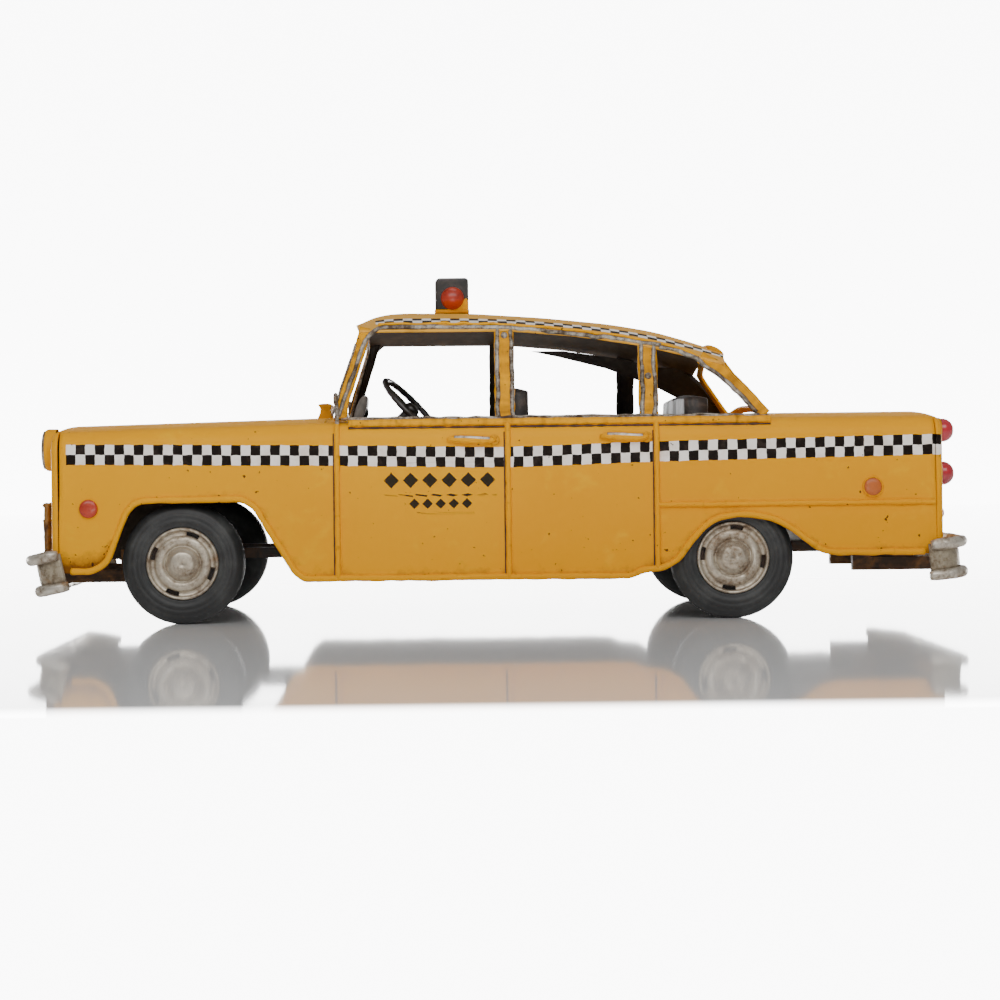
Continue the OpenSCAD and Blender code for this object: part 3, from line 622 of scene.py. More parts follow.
def build_side(name, mirror):
    """One side skin with its beads, and beside each door bead a dark line of painted shadow and patina."""
    flip = FLIP if mirror else np.ones(3)
    top = [(x, float(core_z(x)) + SHOULDER_R * math.pi / 2)
           for x in np.arange(CORE_X1, CORE_X0 - 0.1, -1.5)]
    top[-1] = (CORE_X0, top[-1][1])
    lower = [p - np.array([0, 0.9]) for p in LOWER]
    lower[0] = np.array([CORE_X0, lower[0][1]])
    lower[-1] = np.array([CORE_X1, lower[-1][1]])
    flat, faces = filled(list(map(tuple, lower)) + top, 1.9)
    verts = side_point(flat[:, 0], flat[:, 1]) * flip
    faces = [tuple(reversed(f)) for f in faces] if mirror else faces
    skin = make_object(name, verts, faces, PAINT_SIDE, slot="body_paint", replaces=[name], inner=INNER)
    add_attribute(skin, "wear", side_wear(flat))
    add_attribute(skin, "stripe", stripe_uv(flat[:, 0], flat[:, 1]))
    add_attribute(skin, "mark", mark_uv(flat[:, 0], flat[:, 1]))
    thicken(skin, SHEET, inner=True)
    side = "right" if mirror else "left"
    beads, shades = [], []
    for k, (label, path, width) in enumerate(side_lines()):
        normals = side_normal(path[:, 0], path[:, 1]) * flip
        points = side_point(path[:, 0], path[:, 1]) * flip
        points[:, 2] += waviness(len(path), k + 3, 0.16)
        swell = 1 + waviness(len(path), k + 11, 0.09, 2)
        beads.append(sweep(points, normals, half_round(width, BEAD_H), scale=swell))
        # a dark line along one side of each door bead: painted shadow and patina
        if label.startswith("door"):
            edge = side_point(path[:-4, 0] - width / 2 - 0.25, path[:-4, 1], 0.05) * flip
            shades.append(sweep(edge, normals[:-4], half_round(0.7, 0.12, 5, 0.3)))
    verts, faces = merged(beads)
    bead = make_object(side + "_beads", verts, faces, PAINT_BEAD, slot="body_paint",
                       replaces=[side + "_body_beading"])
    tidy(bead, 0.001)
    noise = waviness(len(bead.data.vertices), 5, 0.45, 6)
    add_attribute(bead, "wear", np.clip(0.1 + noise, 0, 1))
    verts, faces = merged(shades)
    tidy(make_object(side + "_door_gaps", verts, faces, SHADOW_AND_PATINA_LINE, slot="body_paint"), 0.001)


def top_sheet(name, xs, wear_edge):
    """A crowned sheet between the two shoulders, over the given stations in x."""
    ys = np.linspace(-CORE_Y, CORE_Y, 61)
    gx, gy = np.meshgrid(xs, ys, indexing="ij")
    gz = core_z(gx) + SHOULDER_R + crown_z(gy)
    verts = np.stack([gx, gy, gz], axis=-1).reshape(-1, 3)
    obj = make_object(name, verts, grid_faces(len(xs), len(ys)), PAINT, slot="body_paint",
                      replaces=[name], inner=INNER)
    edge = np.minimum(CORE_Y - np.abs(gy), np.minimum(gx - xs[0], xs[-1] - gx)).reshape(-1)
    add_attribute(obj, "wear", wear_edge * np.exp(-edge / 3.0))
    thicken(obj, SHEET, inner=True)


def end_outline(inset, zc, lip):
    """Half outline of the body at one end, from the lip up the side to the middle of the top."""
    side = [(CORE_Y + SHOULDER_R - inset, z) for z in np.linspace(lip, zc, 24)]
    turn = [(CORE_Y + (SHOULDER_R - inset) * math.cos(a), zc + (SHOULDER_R - inset) * math.sin(a))
            for a in np.linspace(0, math.pi / 2, 12)[1:]]
    top = [(y, zc + SHOULDER_R - inset + float(crown_z(y))) for y in np.linspace(CORE_Y, 0, 30)[1:]]
    return np.array(side + turn + top)


def end_panel(name, x_core, lip, direction):
    """Front or rear panel: a flat face whose edge rolls over into the sides and the top."""
    zc = float(core_z(x_core))
    rows = []
    for angle in np.linspace(0, math.pi / 2, 7):
        half = end_outline(CORNER_R * (1 - math.cos(angle)), zc, lip)
        loop = np.concatenate([half, half[-2::-1] * [-1, 1]])
        rows.append((np.full(len(loop), x_core + direction * CORNER_R * math.sin(angle)), loop))
    edge = rows[-1][1]
    for share in (0.97, 0.93, 0.86, 0.76, 0.64, 0.5, 0.34, 0.18, 0.02):
        loop = np.stack([edge[:, 0] * share, lip + (edge[:, 1] - lip) * share], axis=-1)
        rows.append((rows[6][0], loop))
    verts = np.array([[x[i], loop[i, 0], loop[i, 1]] for x, loop in rows for i in range(len(x))])
    count = len(edge)
    faces = grid_faces(len(rows), count)
    if direction > 0:
        faces = [tuple(reversed(f)) for f in faces]
    obj = make_object(name, verts, faces, PAINT_SIDE, slot="body_paint", replaces=[name], inner=INNER)
    low = 0.7 * np.exp(-(verts[:, 2] - lip) / 5.0)
    rolled = np.exp(-np.abs(np.abs(verts[:, 0]) - abs(x_core) - CORNER_R * 0.8) / 0.8)
    rolled *= np.arange(len(verts)) < 7 * count
    add_attribute(obj, "wear", low + 0.25 * rolled)
    stripe = stripe_uv(verts[:, 0], verts[:, 2])
    stripe[:, 2] *= np.abs(verts[:, 1]) > CORE_Y + 4
    add_attribute(obj, "stripe", stripe)
    add_attribute(obj, "mark", np.zeros((len(verts), 3)))
    thicken(obj, SHEET, inner=True)


build_side("left_side_panel", False)
build_side("right_side_panel", True)
top_sheet("hood", np.linspace(CORE_X0, COWL_X, 56), 0.5)
top_sheet("cowl_panel", np.linspace(COWL_X, CABIN_X0, 7), 0.7)
top_sheet("rear_deck", np.linspace(CABIN_X1, CORE_X1, 46), 0.5)
end_panel("front_panel", CORE_X0, FRONT_LIP_Z, -1)
end_panel("rear_panel", CORE_X1, REAR_LIP_Z, 1)


# ---- cabin: roof skin, pillars, window trims and surrounds ----
LEAN = math.radians(11.2)
PILLAR_Y = 69.5
MOULD_Z = BELT_Z + 1.5
GUTTER = [(-62, 125.2), (8, 125), (35, 122.5), (62, 118.3), (81, 113.7), (104, 108)]
CROWN_KEYS = [(-62, 128.3), (-58, 131.7), (-51, 134.5), (-42, 135.5), (-10, 135), (22, 132.7),
              (52, 129.5), (72, 125.9), (90, 120.5), (104, 115.3)]


def prism(points, axis, low, high):
    """Verts and faces of a plate with the given outline in the two other axes."""
    n = len(points)
    verts = []
    for t in (low, high):
        for a, b in points:
            verts.append({"x": (t, a, b), "y": (a, t, b), "z": (a, b, t)}[axis])
    faces = [tuple(range(n)), tuple(reversed(range(n, 2 * n)))]
    faces += [(i, (i + 1) % n, n + (i + 1) % n, n + i) for i in range(n)]
    return verts, faces


def roof_grid(ss, vs):
    """Points of the roof at shares of its length and half width, and that half width."""
    s, v = np.meshgrid(ss, vs, indexing="ij")
    a = np.abs(v)
    x = (-61.5 + 3 * a * a) * (1 - s) + (101 - 2.5 * a * a) * s
    edge = lerp_keys(x, GUTTER)
    half = 63 + (125 - edge) * math.tan(LEAN)
    w = a ** 2.6
    z = smooth_keys(x, CROWN_KEYS, 5) * (1 - w) + smooth_keys(x, GUTTER, 5) * w
    return np.stack([x, half * v, z], -1), half


def build_roof():
    ss = np.linspace(0, 1, 110)
    vs = np.sin(np.linspace(-1, 1, 121) * math.pi / 2 * 0.8) / math.sin(math.pi / 2 * 0.8)
    points, half = roof_grid(ss, vs)
    obj = make_object("roof_skin", points.reshape(-1, 3), grid_faces(len(ss), len(vs)), PAINT_ROOF,
                      slot="body_paint", replaces=["roof"], inner=INNER)
    edge = (half - np.abs(points[..., 1])).reshape(-1)
    x = points[..., 0]
    ends = np.minimum(x - x.min(), x.max() - x).reshape(-1)
    add_attribute(obj, "wear", 0.38 * np.exp(-edge / 2.5) + 0.42 * np.exp(-ends / 3.0))
    run = np.cumsum(np.concatenate([[0], np.linalg.norm(np.diff(points[:, 90], axis=0), axis=1)]))
    along = np.repeat(run[:, None], len(vs), axis=1)
    across = (np.abs(points[..., 1]) - half * 0.85) / CELL + 2
    on = (along > 8) & (along < run[-1] + 1)
    add_attribute(obj, "stripe", np.stack([along / CELL, across, on], -1).reshape(-1, 3))
    thicken(obj, 1.2, inner=True)
    lip = roof_grid(np.array([1.0]), np.linspace(-0.62, 0.62, 60))[0][0]
    lip[:, 2] += 0.7
    lip[:, 0] -= 2.6
    swell = 1 + waviness(60, 31, 0.08, 2)
    normals = np.tile([0.42, 0, 0.9], (60, 1))
    lip_obj = make_object("roof_lip", *sweep(lip, normals, half_round(8, 1.6), scale=swell), PAINT_BEAD,
                          slot="body_paint")
    even_wear(tidy(lip_obj, 0.001), 0.6)


def on_side(x, z, out):
    """A point on the leaning plane of the side windows, moved outward."""
    x, z = np.broadcast_arrays(np.asarray(x, float), np.asarray(z, float))
    y = -(PILLAR_Y - (z - MOULD_Z) * math.tan(LEAN)) - out * math.cos(LEAN)
    return np.stack([x, y, z + out * math.sin(LEAN)], -1)


SIDE_NORMAL = np.array([0, -math.cos(LEAN), math.sin(LEAN)])


def side_strip(path, section, out, seed, rough=0.0, radius=6.0):
    """A strip along a path of (x, z) on the window plane."""
    line = rounded_path(path, radius, 1.3)
    line += rough * waviness(len(line), seed, 0.35)[:, None]
    points = on_side(line[:, 0], line[:, 1], out)
    swell = 1 + waviness(len(line), seed + 1, 0.1, 1) * (1 if rough else 0.4)
    return sweep(points, np.tile(SIDE_NORMAL, (len(line), 1)), section, scale=swell)


def both(parts):
    """The same parts on the driver's side and mirrored on the other."""
    out = list(parts)
    for verts, faces in parts:
        out.append(([np.array(v) * FLIP for v in verts], [tuple(reversed(f)) for f in faces]))
    return merged(out)


def finish_bars(name, parts, material, slot, replaces=(), wear=None, brown=False):
    """Bars of one finish on both sides; brown gives the faces that look into the cabin the darker inside
    brown, a painted shade.
    """
    obj = make_object(name, *both(parts), material, slot=slot, replaces=replaces,
                      inner=INNER_SHADED if brown else None)
    tidy(obj, 0.001)
    # faces looking into the cabin get the darker brown as painted shade
    if brown:
        for face in obj.data.polygons:
            if face.normal.y * math.copysign(1, face.center.y) < 0.3:
                face.material_index = 1
    if wear is not None:
        n = len(obj.data.vertices)
        add_attribute(obj, "wear", np.clip(wear + waviness(n, 9, 0.35, 8), 0, 1))
    return obj


def box_section(width, out, inward, bulge=0.3):
    w = width / 2
    return [(-w, -inward), (-w, out - bulge), (-w * 0.55, out),
            (w * 0.55, out), (w, out - bulge), (w, -inward)]


def build_pillars():
    post = {
        "a_pillars": [side_strip([(-66.6, 87), (-65.4, 95), (-57.6, 118.5), (-55.4, 126.2)],
                                 box_section(5.2, 0.5, 2.0), 0, 3, radius=3)],
        "b_pillars": [side_strip([(3.9, 86.5), (3.9, 125.6)], box_section(8.6, 0.3, 1.6), 0, 4)],
        "c_pillars": [side_strip([(65.4, 86.5), (65.4, 118.3)], box_section(8.2, 0.3, 1.6), 0, 5)],
        "rear_pillars": [side_strip([(115, 86.8), (106.3, 97), (96.5, 107.2), (88, 111.8)],
                                    box_section(5.4, 0.4, 1.4), 0, 6, radius=12)]}
    for name, parts in post.items():
        finish_bars(name + "_posts", parts, PAINT_BEAD, "body_paint", [name], 0.66, brown=True)
    trim = half_round(1.9, 1.0, 7)
    top = [(-40, 126.4), (3, 125.8), (38, 122.2), (62, 118.8), (71, 116.9)]
    bars = [side_strip([(-67.4, 87.6), (-64.9, 95), (-60.4, 107.9), (-55.9, 121), (-50.5, 126.2)] + top,
                       trim, 0.5, 21, 1, 7),
            side_strip([(71, 116.9), (81.2, 113.7), (92.9, 106.9), (103, 97.3), (111.6, 87.9)],
                       trim, 0.5, 22, 1, 14),
            side_strip([(-70.2, 88), (-67.4, 96), (-59.6, 119.5)], half_round(1.0, 0.6, 5), 0.5, 27, 1, 3)]
    for k, (x, z) in enumerate(((1.0, 125.4), (7.1, 125), (62.8, 118.4), (68.2, 117.4))):
        bars.append(side_strip([(x, 87), (x, z)], half_round(1.9, 0.9, 7), 0.3, 23 + k, 1))
    for x, z in ((4.0, 122.3), (65.5, 104)):
        dome = [(1.5 * math.cos(a), -0.9 * math.sin(a)) for a in np.linspace(0, math.pi / 2, 6)]
        bars.append(lathe(dome, 16, "y", on_side(x, z, 0.3)))
    bars.append(side_strip([(-66, 87.2), (112.6, 87.2)], half_round(1.0, 0.7, 5, 0.6), 0.1, 28, 1))
    finish_bars("window_trims", bars, SILVER, "aged_silver")
    lining = prism([(20, 121.5), (33.4, 118.6), (56, 112.9), (72.6, 106.7), (80.3, 103.6), (93.4, 96.8),
                    (103, 88.5), (110.2, 88.5), (110.2, 93.4), (103.0, 102.2), (91.2, 113), (81, 113),
                    (62, 117.6), (35, 121.5)], "y", 0.0, 0.8)
    lean = [on_side(v[0], v[2], v[1] - 3.2) * FLIP for v in lining[0]]
    # the far-side lining takes the darker inside brown as painted shade
    make_object("cabin_lining", lean, lining[1], INNER_SHADED, slot="brown_paint", smooth=False)
    under = side_strip([(-50, 127.8), (-40, 128.0), (3, 127.4), (38, 123.8), (62, 120.4), (81, 115.4),
                        (93, 109)], half_round(1.2, 0.6, 5), 0.0, 29, 1, 9)
    finish_bars("gutter_lines", [under], PAINT_BEAD, "body_paint", wear=0.35)


def build_belt():
    """The strip under the side windows: a yellow bead with a silver edge along its top."""
    for side, flip in (("left", np.ones(3)), ("right", FLIP)):
        xs = np.arange(-63, 117.1, 1.2)
        n = len(xs)
        base = np.stack([xs, np.full(n, -(HALF_W - 4.0)), np.full(n, BELT_Z - 0.5)], -1)
        normals = np.tile([0, -math.cos(0.7), math.sin(0.7)], (n, 1))
        base[:, 2] += waviness(n, 41, 0.12)
        section = [(-1.7, -1.4)] + half_round(3.4, 1.5, 9)[1:-1] + [(1.7, -1.4)]
        verts, faces = sweep(base, normals, section, scale=1 + waviness(n, 42, 0.07))
        obj = make_object(side + "_belt_bead", np.array(verts) * flip, faces, PAINT_BEAD, slot="body_paint",
                          replaces=[side + "_belt_moulding"])
        tidy(obj, 0.001)
        add_attribute(obj, "wear", np.clip(0.42 + waviness(len(obj.data.vertices), 8, 0.5, 8), 0, 1))
        ledge = [np.array([x, y, z]) * flip
                 for x in (-63, 117) for y, z in ((-70.6, 85.4), (-70.4, 86.9), (-66.4, 87.1), (-66.4, 85.2))]
        make_object(side + "_belt_ledge", ledge,
                    [(0, 1, 5, 4), (1, 2, 6, 5), (2, 3, 7, 6), (3, 0, 4, 7), (0, 3, 2, 1), (4, 5, 6, 7)],
                    SILVER, slot="aged_silver", smooth=False)
        # a dark line under the belt bead: painted shadow in the gap there
        low = np.stack([xs, np.full(n, -(HALF_W - 2.35)), np.full(n, BELT_Z - 2.5)], -1)
        verts, faces = sweep(low, np.tile([0, -0.85, 0.5], (n, 1)), half_round(0.9, 0.2, 5, 0.4),
                             scale=1 + waviness(n, 43, 0.3, 1))
        tidy(make_object(side + "_belt_gap", np.array(verts) * flip, faces, SHADOW_AND_PATINA_LINE, slot="body_paint"), 0.001)


def surround(name, replaces, foot_x, lean, foot, head, height, rises, sides, radius, bow, materials):
    """Window surround on a leaning plane: outline and rounded opening, filled between."""
    def loop(inset_side, inset_low, inset_high, corner):
        f, h = foot - inset_side[0], head - inset_side[1]
        low = [(y, inset_low + rises[0] * (1 - (y / foot) ** 2)) for y in np.linspace(-f, f, 25)]
        high = [(y, height - inset_high + rises[1] * (1 - abs(y / head) ** 2.6))
                for y in np.linspace(h, -h, 25)]
        middle = low[12][1]
        pts = rounded_path([(0, middle)] + low[13:] + high + low[:12] + [(-0.01, middle)], corner, 2.0)
        return resample(pts, 2.0)[:-1]
    outer = loop((0, 0), 0, 0, 0.5)
    inner = loop(sides, 2.2, 2.6, radius)
    n = 180
    loops = []
    for pts in (outer, inner):
        closed = np.concatenate([pts, pts[:1]])
        angle = np.unwrap(np.arctan2(closed[:, 1] - height / 2, closed[:, 0]))
        at = np.linspace(angle[0], angle[0] + 2 * math.pi, n, endpoint=False)
        order = np.argsort(angle)
        loops.append(np.stack([np.interp(at, angle[order], closed[order, k]) for k in (0, 1)], 1))
    verts = []
    for t in np.linspace(0, 1, 5):
        ring = loops[0] * (1 - t) + loops[1] * t
        for y, h in ring:
            x = foot_x - math.tan(lean) * h - bow * abs(y / foot) ** 6
            verts.append((x, y, BELT_Z + 0.4 + h))
    faces = [(k * n + i, k * n + (i + 1) % n, (k + 1) * n + (i + 1) % n, (k + 1) * n + i)
             for k in range(4) for i in range(n)]
    if lean > 0:
        faces = [tuple(reversed(f)) for f in faces]
    obj = make_object(name, verts, faces, materials[0], slot="body_paint", replaces=replaces, inner=INNER)
    even_wear(obj, 0.42)
    thicken(obj, SHEET, inner=True)
    rim = np.array(verts[4 * n:5 * n])
    rim = np.concatenate([rim, rim[:1]])
    normal = np.array([math.cos(lean), 0, math.sin(abs(lean))]) * (1 if lean > 0 else -1)
    normal[2] = abs(normal[2])
    edge = sweep(rim, np.tile(normal, (len(rim), 1)), half_round(1.5, 0.8, 7), close_ends=False)
    trim = make_object(name + "_edge", *edge, materials[1], slot="aged_silver")
    tidy(trim, 0.001)
    if materials[1] is PAINT_BEAD:
        even_wear(trim, 0.35)


build_roof()
build_pillars()
build_belt()
surround("windscreen_surround", ["windscreen_frame"], -69.6, math.radians(-16.8), 66.5, 60.5, 37.5,
         (CROWN, 4.6), (3.4, 3.2), 7, -1.2, (PAINT_BEAD, SILVER))
surround("rear_window_surround", ["rear_window_frame"], 117.6, math.radians(36), 66, 61.5, 22.3,
         (CROWN, 6.4), (8, 7), 9, 3.2, (PAINT_BEAD, PAINT_BEAD))


# ---- wheels and tyres ----
TYRE_W = 17.0
BEAD_R = 15.5
TYRE_INNER_Y = 56.2


def tyre_profile():
    """Half section of a tyre as (radius, distance from its inner face)."""
    r, w, b = TYRE_R, TYRE_W, BEAD_R
    outer = [(b, w - 1.6), (b + 0.7, w - 0.8), (b + 1.3, w - 1.2), (b + 2.1, w - 0.3), (b + 3.6, w),
             (b + 4.1, w - 0.55), (b + 4.7, w - 0.05), (b + 6.0, w - 0.35), (b + 6.4, w - 0.85),
             (b + 7.1, w - 0.6), (b + 8.2, w - 1.4), (r - 1.1, w - 2.9), (r - 0.35, w - 4.1)]
    tread = []
    for at in (4.6, 6.9, 9.2, 11.5):
        tread = [(r, at - 0.5), (r - 0.7, at - 0.3), (r - 0.7, at + 0.3), (r, at + 0.5)][::-1] + tread
    inner = [(r - 0.6, 3.2), (r - 2.4, 1.1), (r - 5, 0.1), (b + 2, 0), (b, 0.7)]
    return outer + [(r, w - 4.9)] + tread + [(r, 4.0)] + inner


def wheel_profile():
    """Pressed cover from the tyre's bead to the middle of its hub cap."""
    w = TYRE_W
    return [(BEAD_R, w - 2.4), (BEAD_R, w - 1.2), (15.1, w - 0.45), (14.5, w - 0.35), (14.1, w - 0.9),
            (13.8, w - 2.0), (12.3, w - 2.2), (11.9, w - 1.7), (11.2, w - 1.1), (10.2, w - 0.8),
            (9.0, w - 0.85), (8.2, w - 1.2),
            (7.85, w - 1.9), (7.4, w - 1.9), (7.1, w - 1.1), (6.2, w - 0.25), (5.4, w + 0.25), (5.1, w + 0.7),
            (4.4, w + 1.0), (2.4, w + 1.2), (0.01, w + 1.25)]


def place_turned(profile, segments, side, x, skip=None):
    """Turns a profile about an axle; along runs outward from the tyre's inner face."""
    verts, faces = lathe(profile, segments, "y")
    if skip:
        n = len(profile)
        faces = [f for f in faces if not skip((f[0] // n) * 360 / segments, f[0] % n)]
    verts = [np.array([v[0] + x, side * (TYRE_INNER_Y + v[1]), v[2] + TYRE_R]) for v in verts]
    return verts, [tuple(reversed(f)) for f in faces] if side > 0 else faces


def build_wheel(body, end, side_name, side, x, turn):
    node = "%s_%s" % (end, side_name)
    tyre = make_object(node + "_tyre_tread", *place_turned(tyre_profile(), 144, side, x), RUBBER, body=body,
                       slot="tyre_rubber", replaces=[node + "_tyre"])
    tidy(tyre, 0.001)

    def slotted(angle, ring):
        return ring == 5 and (angle - turn) % 90 < 23
    disc = place_turned(wheel_profile(), 180, side, x, slotted)
    obj = make_object(node + "_wheel_cover", *disc, WHEEL_SILVER, body=body, slot="aged_silver",
                      replaces=[node + "_wheel"])
    tidy(obj, 0.001)
    add_modifier(obj, "SOLIDIFY", thickness=0.5 * MM, offset=-1)
    back = [(BEAD_R, 0.9), (BEAD_R, 12.6), (2.0, 12.9), (2.0, 1.6), (12.9, 1.3), (14.2, 0.6)]
    drum = make_object(node + "_wheel_drum", *place_turned(back + back[:1], 72, side, x), CHASSIS, body=body,
                       slot="aged_silver", smooth=False)
    tidy(drum, 0.001)
    drum.data.polygons.foreach_set("use_smooth", [False] * len(drum.data.polygons))


FRONT_X = sum(c[0] for c in box_mm("front_left_tyre")) / 2
REAR_X = sum(c[0] for c in box_mm("rear_left_tyre")) / 2
for side_name, side in (("left", -1), ("right", 1)):
    build_wheel("front_wheelset", "front", side_name, side, FRONT_X, 58)
    build_wheel("rear_wheelset", "rear", side_name, side, REAR_X, 70)


# ---- bumpers, lamps, grille ----
BUMPER_R = 11
BUMPER_PIVOT = (185, 21)


def rail_line(tip, reach, end_x, radius):
    """Half plan of a bumper rail, from its end round the corner to the middle."""
    pts = [(end_x, -reach), (tip - radius, -reach)]
    pts += [(tip - radius + radius * math.sin(a), -reach + radius - radius * math.cos(a))
            for a in np.linspace(0.05, math.pi / 2, 14)]
    pts += [(tip, y) for y in np.linspace(-reach + radius + 4, 0, 22)]
    half = np.array(pts)
    return resample(np.concatenate([half, half[-2::-1] * [1, -1]]), 1.6)


def rail_normals(line):
    """Level normals of a plan line, pointing away from the car."""
    tangent = np.gradient(line, axis=0)
    normals = np.stack([tangent[:, 1], -tangent[:, 0], np.zeros(len(line))], 1)
    return normals / np.linalg.norm(normals, axis=1)[:, None]


def build_bumper(name, node, tip, low_z, high_z, sign, droop):
    """Two wrapped rails with a dented web between them, tipped about the bumper's pivot."""
    def rail(tip, reach, end_x, z, height, depth, seed):
        line = rail_line(tip, reach, end_x, BUMPER_R)
        n = len(line)
        centre = np.concatenate([line, np.full((n, 1), z)], axis=1)
        centre[:, 2] += waviness(n, seed, 0.2)
        h, d = height / 2, depth / 2
        section = [(h * math.cos(a), d * math.sin(a) * (1.0 if math.sin(a) > 0 else 0.75))
                   for a in np.linspace(0, 2 * math.pi, 15)[:-1]]
        taper = np.clip(0.78 + np.minimum(np.arange(n), np.arange(n)[::-1]) / 7, 0, 1)
        swell = 1 + waviness(n, seed + 5, 0.05)
        return sweep(centre, rail_normals(line), section, scale=taper * swell)
    parts = [rail(tip - 2.5, 77.9, 184.5, high_z - 2.4, 4.7, 4.4, 51),
             rail(tip - 3.3, 77.8, 182.8, low_z + 2.4, 4.7, 4.2, 61)]
    line = rail_line(tip - 4.8, 76.7, 183.6, BUMPER_R)
    n = len(line)
    normals = rail_normals(line)
    web = np.concatenate([line, np.full((n, 1), (low_z + high_z) / 2)], axis=1)
    dent = waviness(n, 71, 0.35, 5)
    h = (high_z - low_z) / 2 - 2
    section = [(-h, -0.6), (-h, 0.3), (-h * 0.4, 0.7), (h * 0.4, 0.7), (h, 0.3), (h, -0.6)]
    back = sweep(web + normals * dent[:, None], normals, section)

    def placed(verts):
        """Tips the bumper about its pivot and puts it at its own end of the car."""
        verts = np.array(verts)
        dx, dz = verts[:, 0] - BUMPER_PIVOT[0], verts[:, 2] - BUMPER_PIVOT[1]
        x = BUMPER_PIVOT[0] + dx * math.cos(droop) + dz * math.sin(droop)
        z = BUMPER_PIVOT[1] + dz * math.cos(droop) - dx * math.sin(droop)
        return np.stack([sign * x, verts[:, 1], z], axis=-1)
    verts, faces = merged(parts)
    obj = make_object(name + "_rails", placed(verts), faces, SILVER_BRIGHT, slot="aged_silver",
                      replaces=[node])
    tidy(obj, 0.001)
    tidy(make_object(name + "_web", placed(back[0]), back[1], WEB, slot="aged_silver"), 0.001)


def dome_profile(radius, height, flange=0.0):
    """Section of a domed lens, from its foot up to its middle."""
    big = (radius ** 2 + height ** 2) / (2 * height)
    half = math.asin(min(1, radius / big))
    pts = [(radius + flange, -0.4), (radius + flange, 0.35)] if flange else [(radius, -0.4)]
    pts += [(big * math.sin(a), big * math.cos(a) - big + height) for a in np.linspace(half, 0.0, 12)]
    pts[-1] = (0.001, pts[-1][1])
    return pts


def lamp(name, profile, places, axis, sign, material, slot, replaces=()):
    """Turned pieces of one kind at several places; sign turns the profile the other way."""
    parts = [lathe([(r, sign * t) for r, t in profile], 48, axis, place) for place in places]
    return tidy(make_object(name, *merged(parts), material, slot=slot, replaces=replaces), 0.001)


build_bumper("front", "front_bumper", 200.5, 14.6, 33.2, -1, math.radians(12))
build_bumper("rear", "rear_bumper", 202.4, 15.4, 33.2, 1, math.radians(-5))
LAMP_Y = (-62, 62)
HEAD_Y = (-56, 56)
LAMP_Z = (60.9, 79.4)
REFLECTOR_Z = 43.8
lamp("tail_lamp_domes", dome_profile(5.0, 6.2), [(TAIL_X + 0.9, y, z) for y in LAMP_Y for z in LAMP_Z],
     "x", 1, CRIMSON, "red_lens", ["tail_lamps"])
seats = lamp("tail_lamp_seats", [(5.3, -0.4), (5.4, 0.7), (5.2, 1.3), (4.6, 1.0)],
             [(TAIL_X, y, z) for y in LAMP_Y for z in LAMP_Z], "x", 1, PAINT_BEAD, "body_paint")
even_wear(seats, 0.5)
lamp("rear_reflector_domes", dome_profile(3.0, 2.8, 0.3), [(TAIL_X, y, REFLECTOR_Z) for y in LAMP_Y],
     "x", 1, CRIMSON, "red_lens", ["rear_reflectors"])
MARKERS = (("front", -173.7, 49.9, RED, "red_lens",
            [(3.9, -0.3), (3.9, 0.9), (3.5, 1.35), (2.0, 1.6), (0.001, 1.65)]),
           ("rear", 159.7, 55.6, ORANGE, "amber_lens", [(3.9, 0.5), (3.5, 1.3), (1.8, 1.5), (0.001, 1.5)]))
for end, x, z, material, slot, button in MARKERS:
    for sign, ending in ((-1, ""), (1, "_right")):
        lamp(end + "_marker_buttons" + ending, button, [(x, sign * HALF_W, z)], "y", sign, material, slot,
             [end + "_side_markers"] if sign < 0 else ())
ring = [(4.3, -0.3), (4.35, 0.9), (4.1, 1.25), (3.8, 1.0), (3.7, 0.2)]
_, x, z = MARKERS[1][:3]
for sign, label in ((-1, "left"), (1, "right")):
    even_wear(lamp("rear_marker_ring_" + label, ring, [(x, sign * HALF_W, z)], "y", sign, PAINT_BEAD,
                   "body_paint"), 0.4)
HEAD_Z = 75.2
pots = lamp("headlight_pots", [(9.1, -0.3), (9.15, 3.4), (8.9, 4.3), (8.2, 4.5), (7.9, 3.6)],
            [(NOSE_X, y, HEAD_Z) for y in HEAD_Y], "x", -1, PAINT_BEAD, "body_paint", ["headlight_bezels"])
even_wear(pots, 0.3)
lamp("headlight_rims", [(8.3, 3.6), (8.5, 4.7), (8.2, 5.4), (7.7, 5.6), (7.2, 5.2), (6.9, 4.2), (6.8, 3.2)],
     [(NOSE_X, y, HEAD_Z) for y in HEAD_Y], "x", -1, SILVER, "aged_silver")
lamp("headlight_glasses", dome_profile(7.1, 2.6), [(NOSE_X - 3.2, y, HEAD_Z) for y in HEAD_Y], "x", -1, GLASS,
     "clear_lens", ["headlight_lenses"])


def build_grille():
    """Openwork grille: rough cast bars, a thick hooked top and a frame, hung in front of the panel."""
    parts = []
    x = NOSE_X - 4.5
    ys = np.linspace(-58, 58, 60)

    def bar(points, normals, width, depth, seed):
        count = len(points)
        pts = np.array(points, float) + waviness(count * 3, seed, 0.25, 2).reshape(count, 3)
        parts.append(sweep(pts, normals, oval_section(width / 2, depth / 2, 8),
                           scale=1 + waviness(count, seed + 1, 0.12, 1)))
    out = np.tile([-1.0, 0, 0], (60, 1))
    for k, z in enumerate((31.0, 37.7, 44.6, 51.2)):
        bar([(x, y, z) for y in ys], out, 1.8 if 0 < k < 3 else 2.2, 3.2, 80 + k * 3)
    zs = np.linspace(30.6, 51.8, 14)
    for k, y in enumerate(np.linspace(-57.4, 57.4, 15)):
        bar([(x, y, z) for z in zs], out[:14], 1.7 if 0 < k < 14 else 2.2, 2.8, 120 + k * 3)
    for y in (-52, -18, 18, 52):
        bar([(x + t, y, 50.6 + 0.7 * math.sin(t)) for t in np.linspace(0.0, 4.6, 5)],
            np.tile([0, 0, 1.0], (5, 1)), 4.0, 2.6, 190)
    obj = make_object("grille_bars", *merged(parts), GILT, slot="gilt_grille", replaces=["grille"])
    tidy(obj, 0.001)


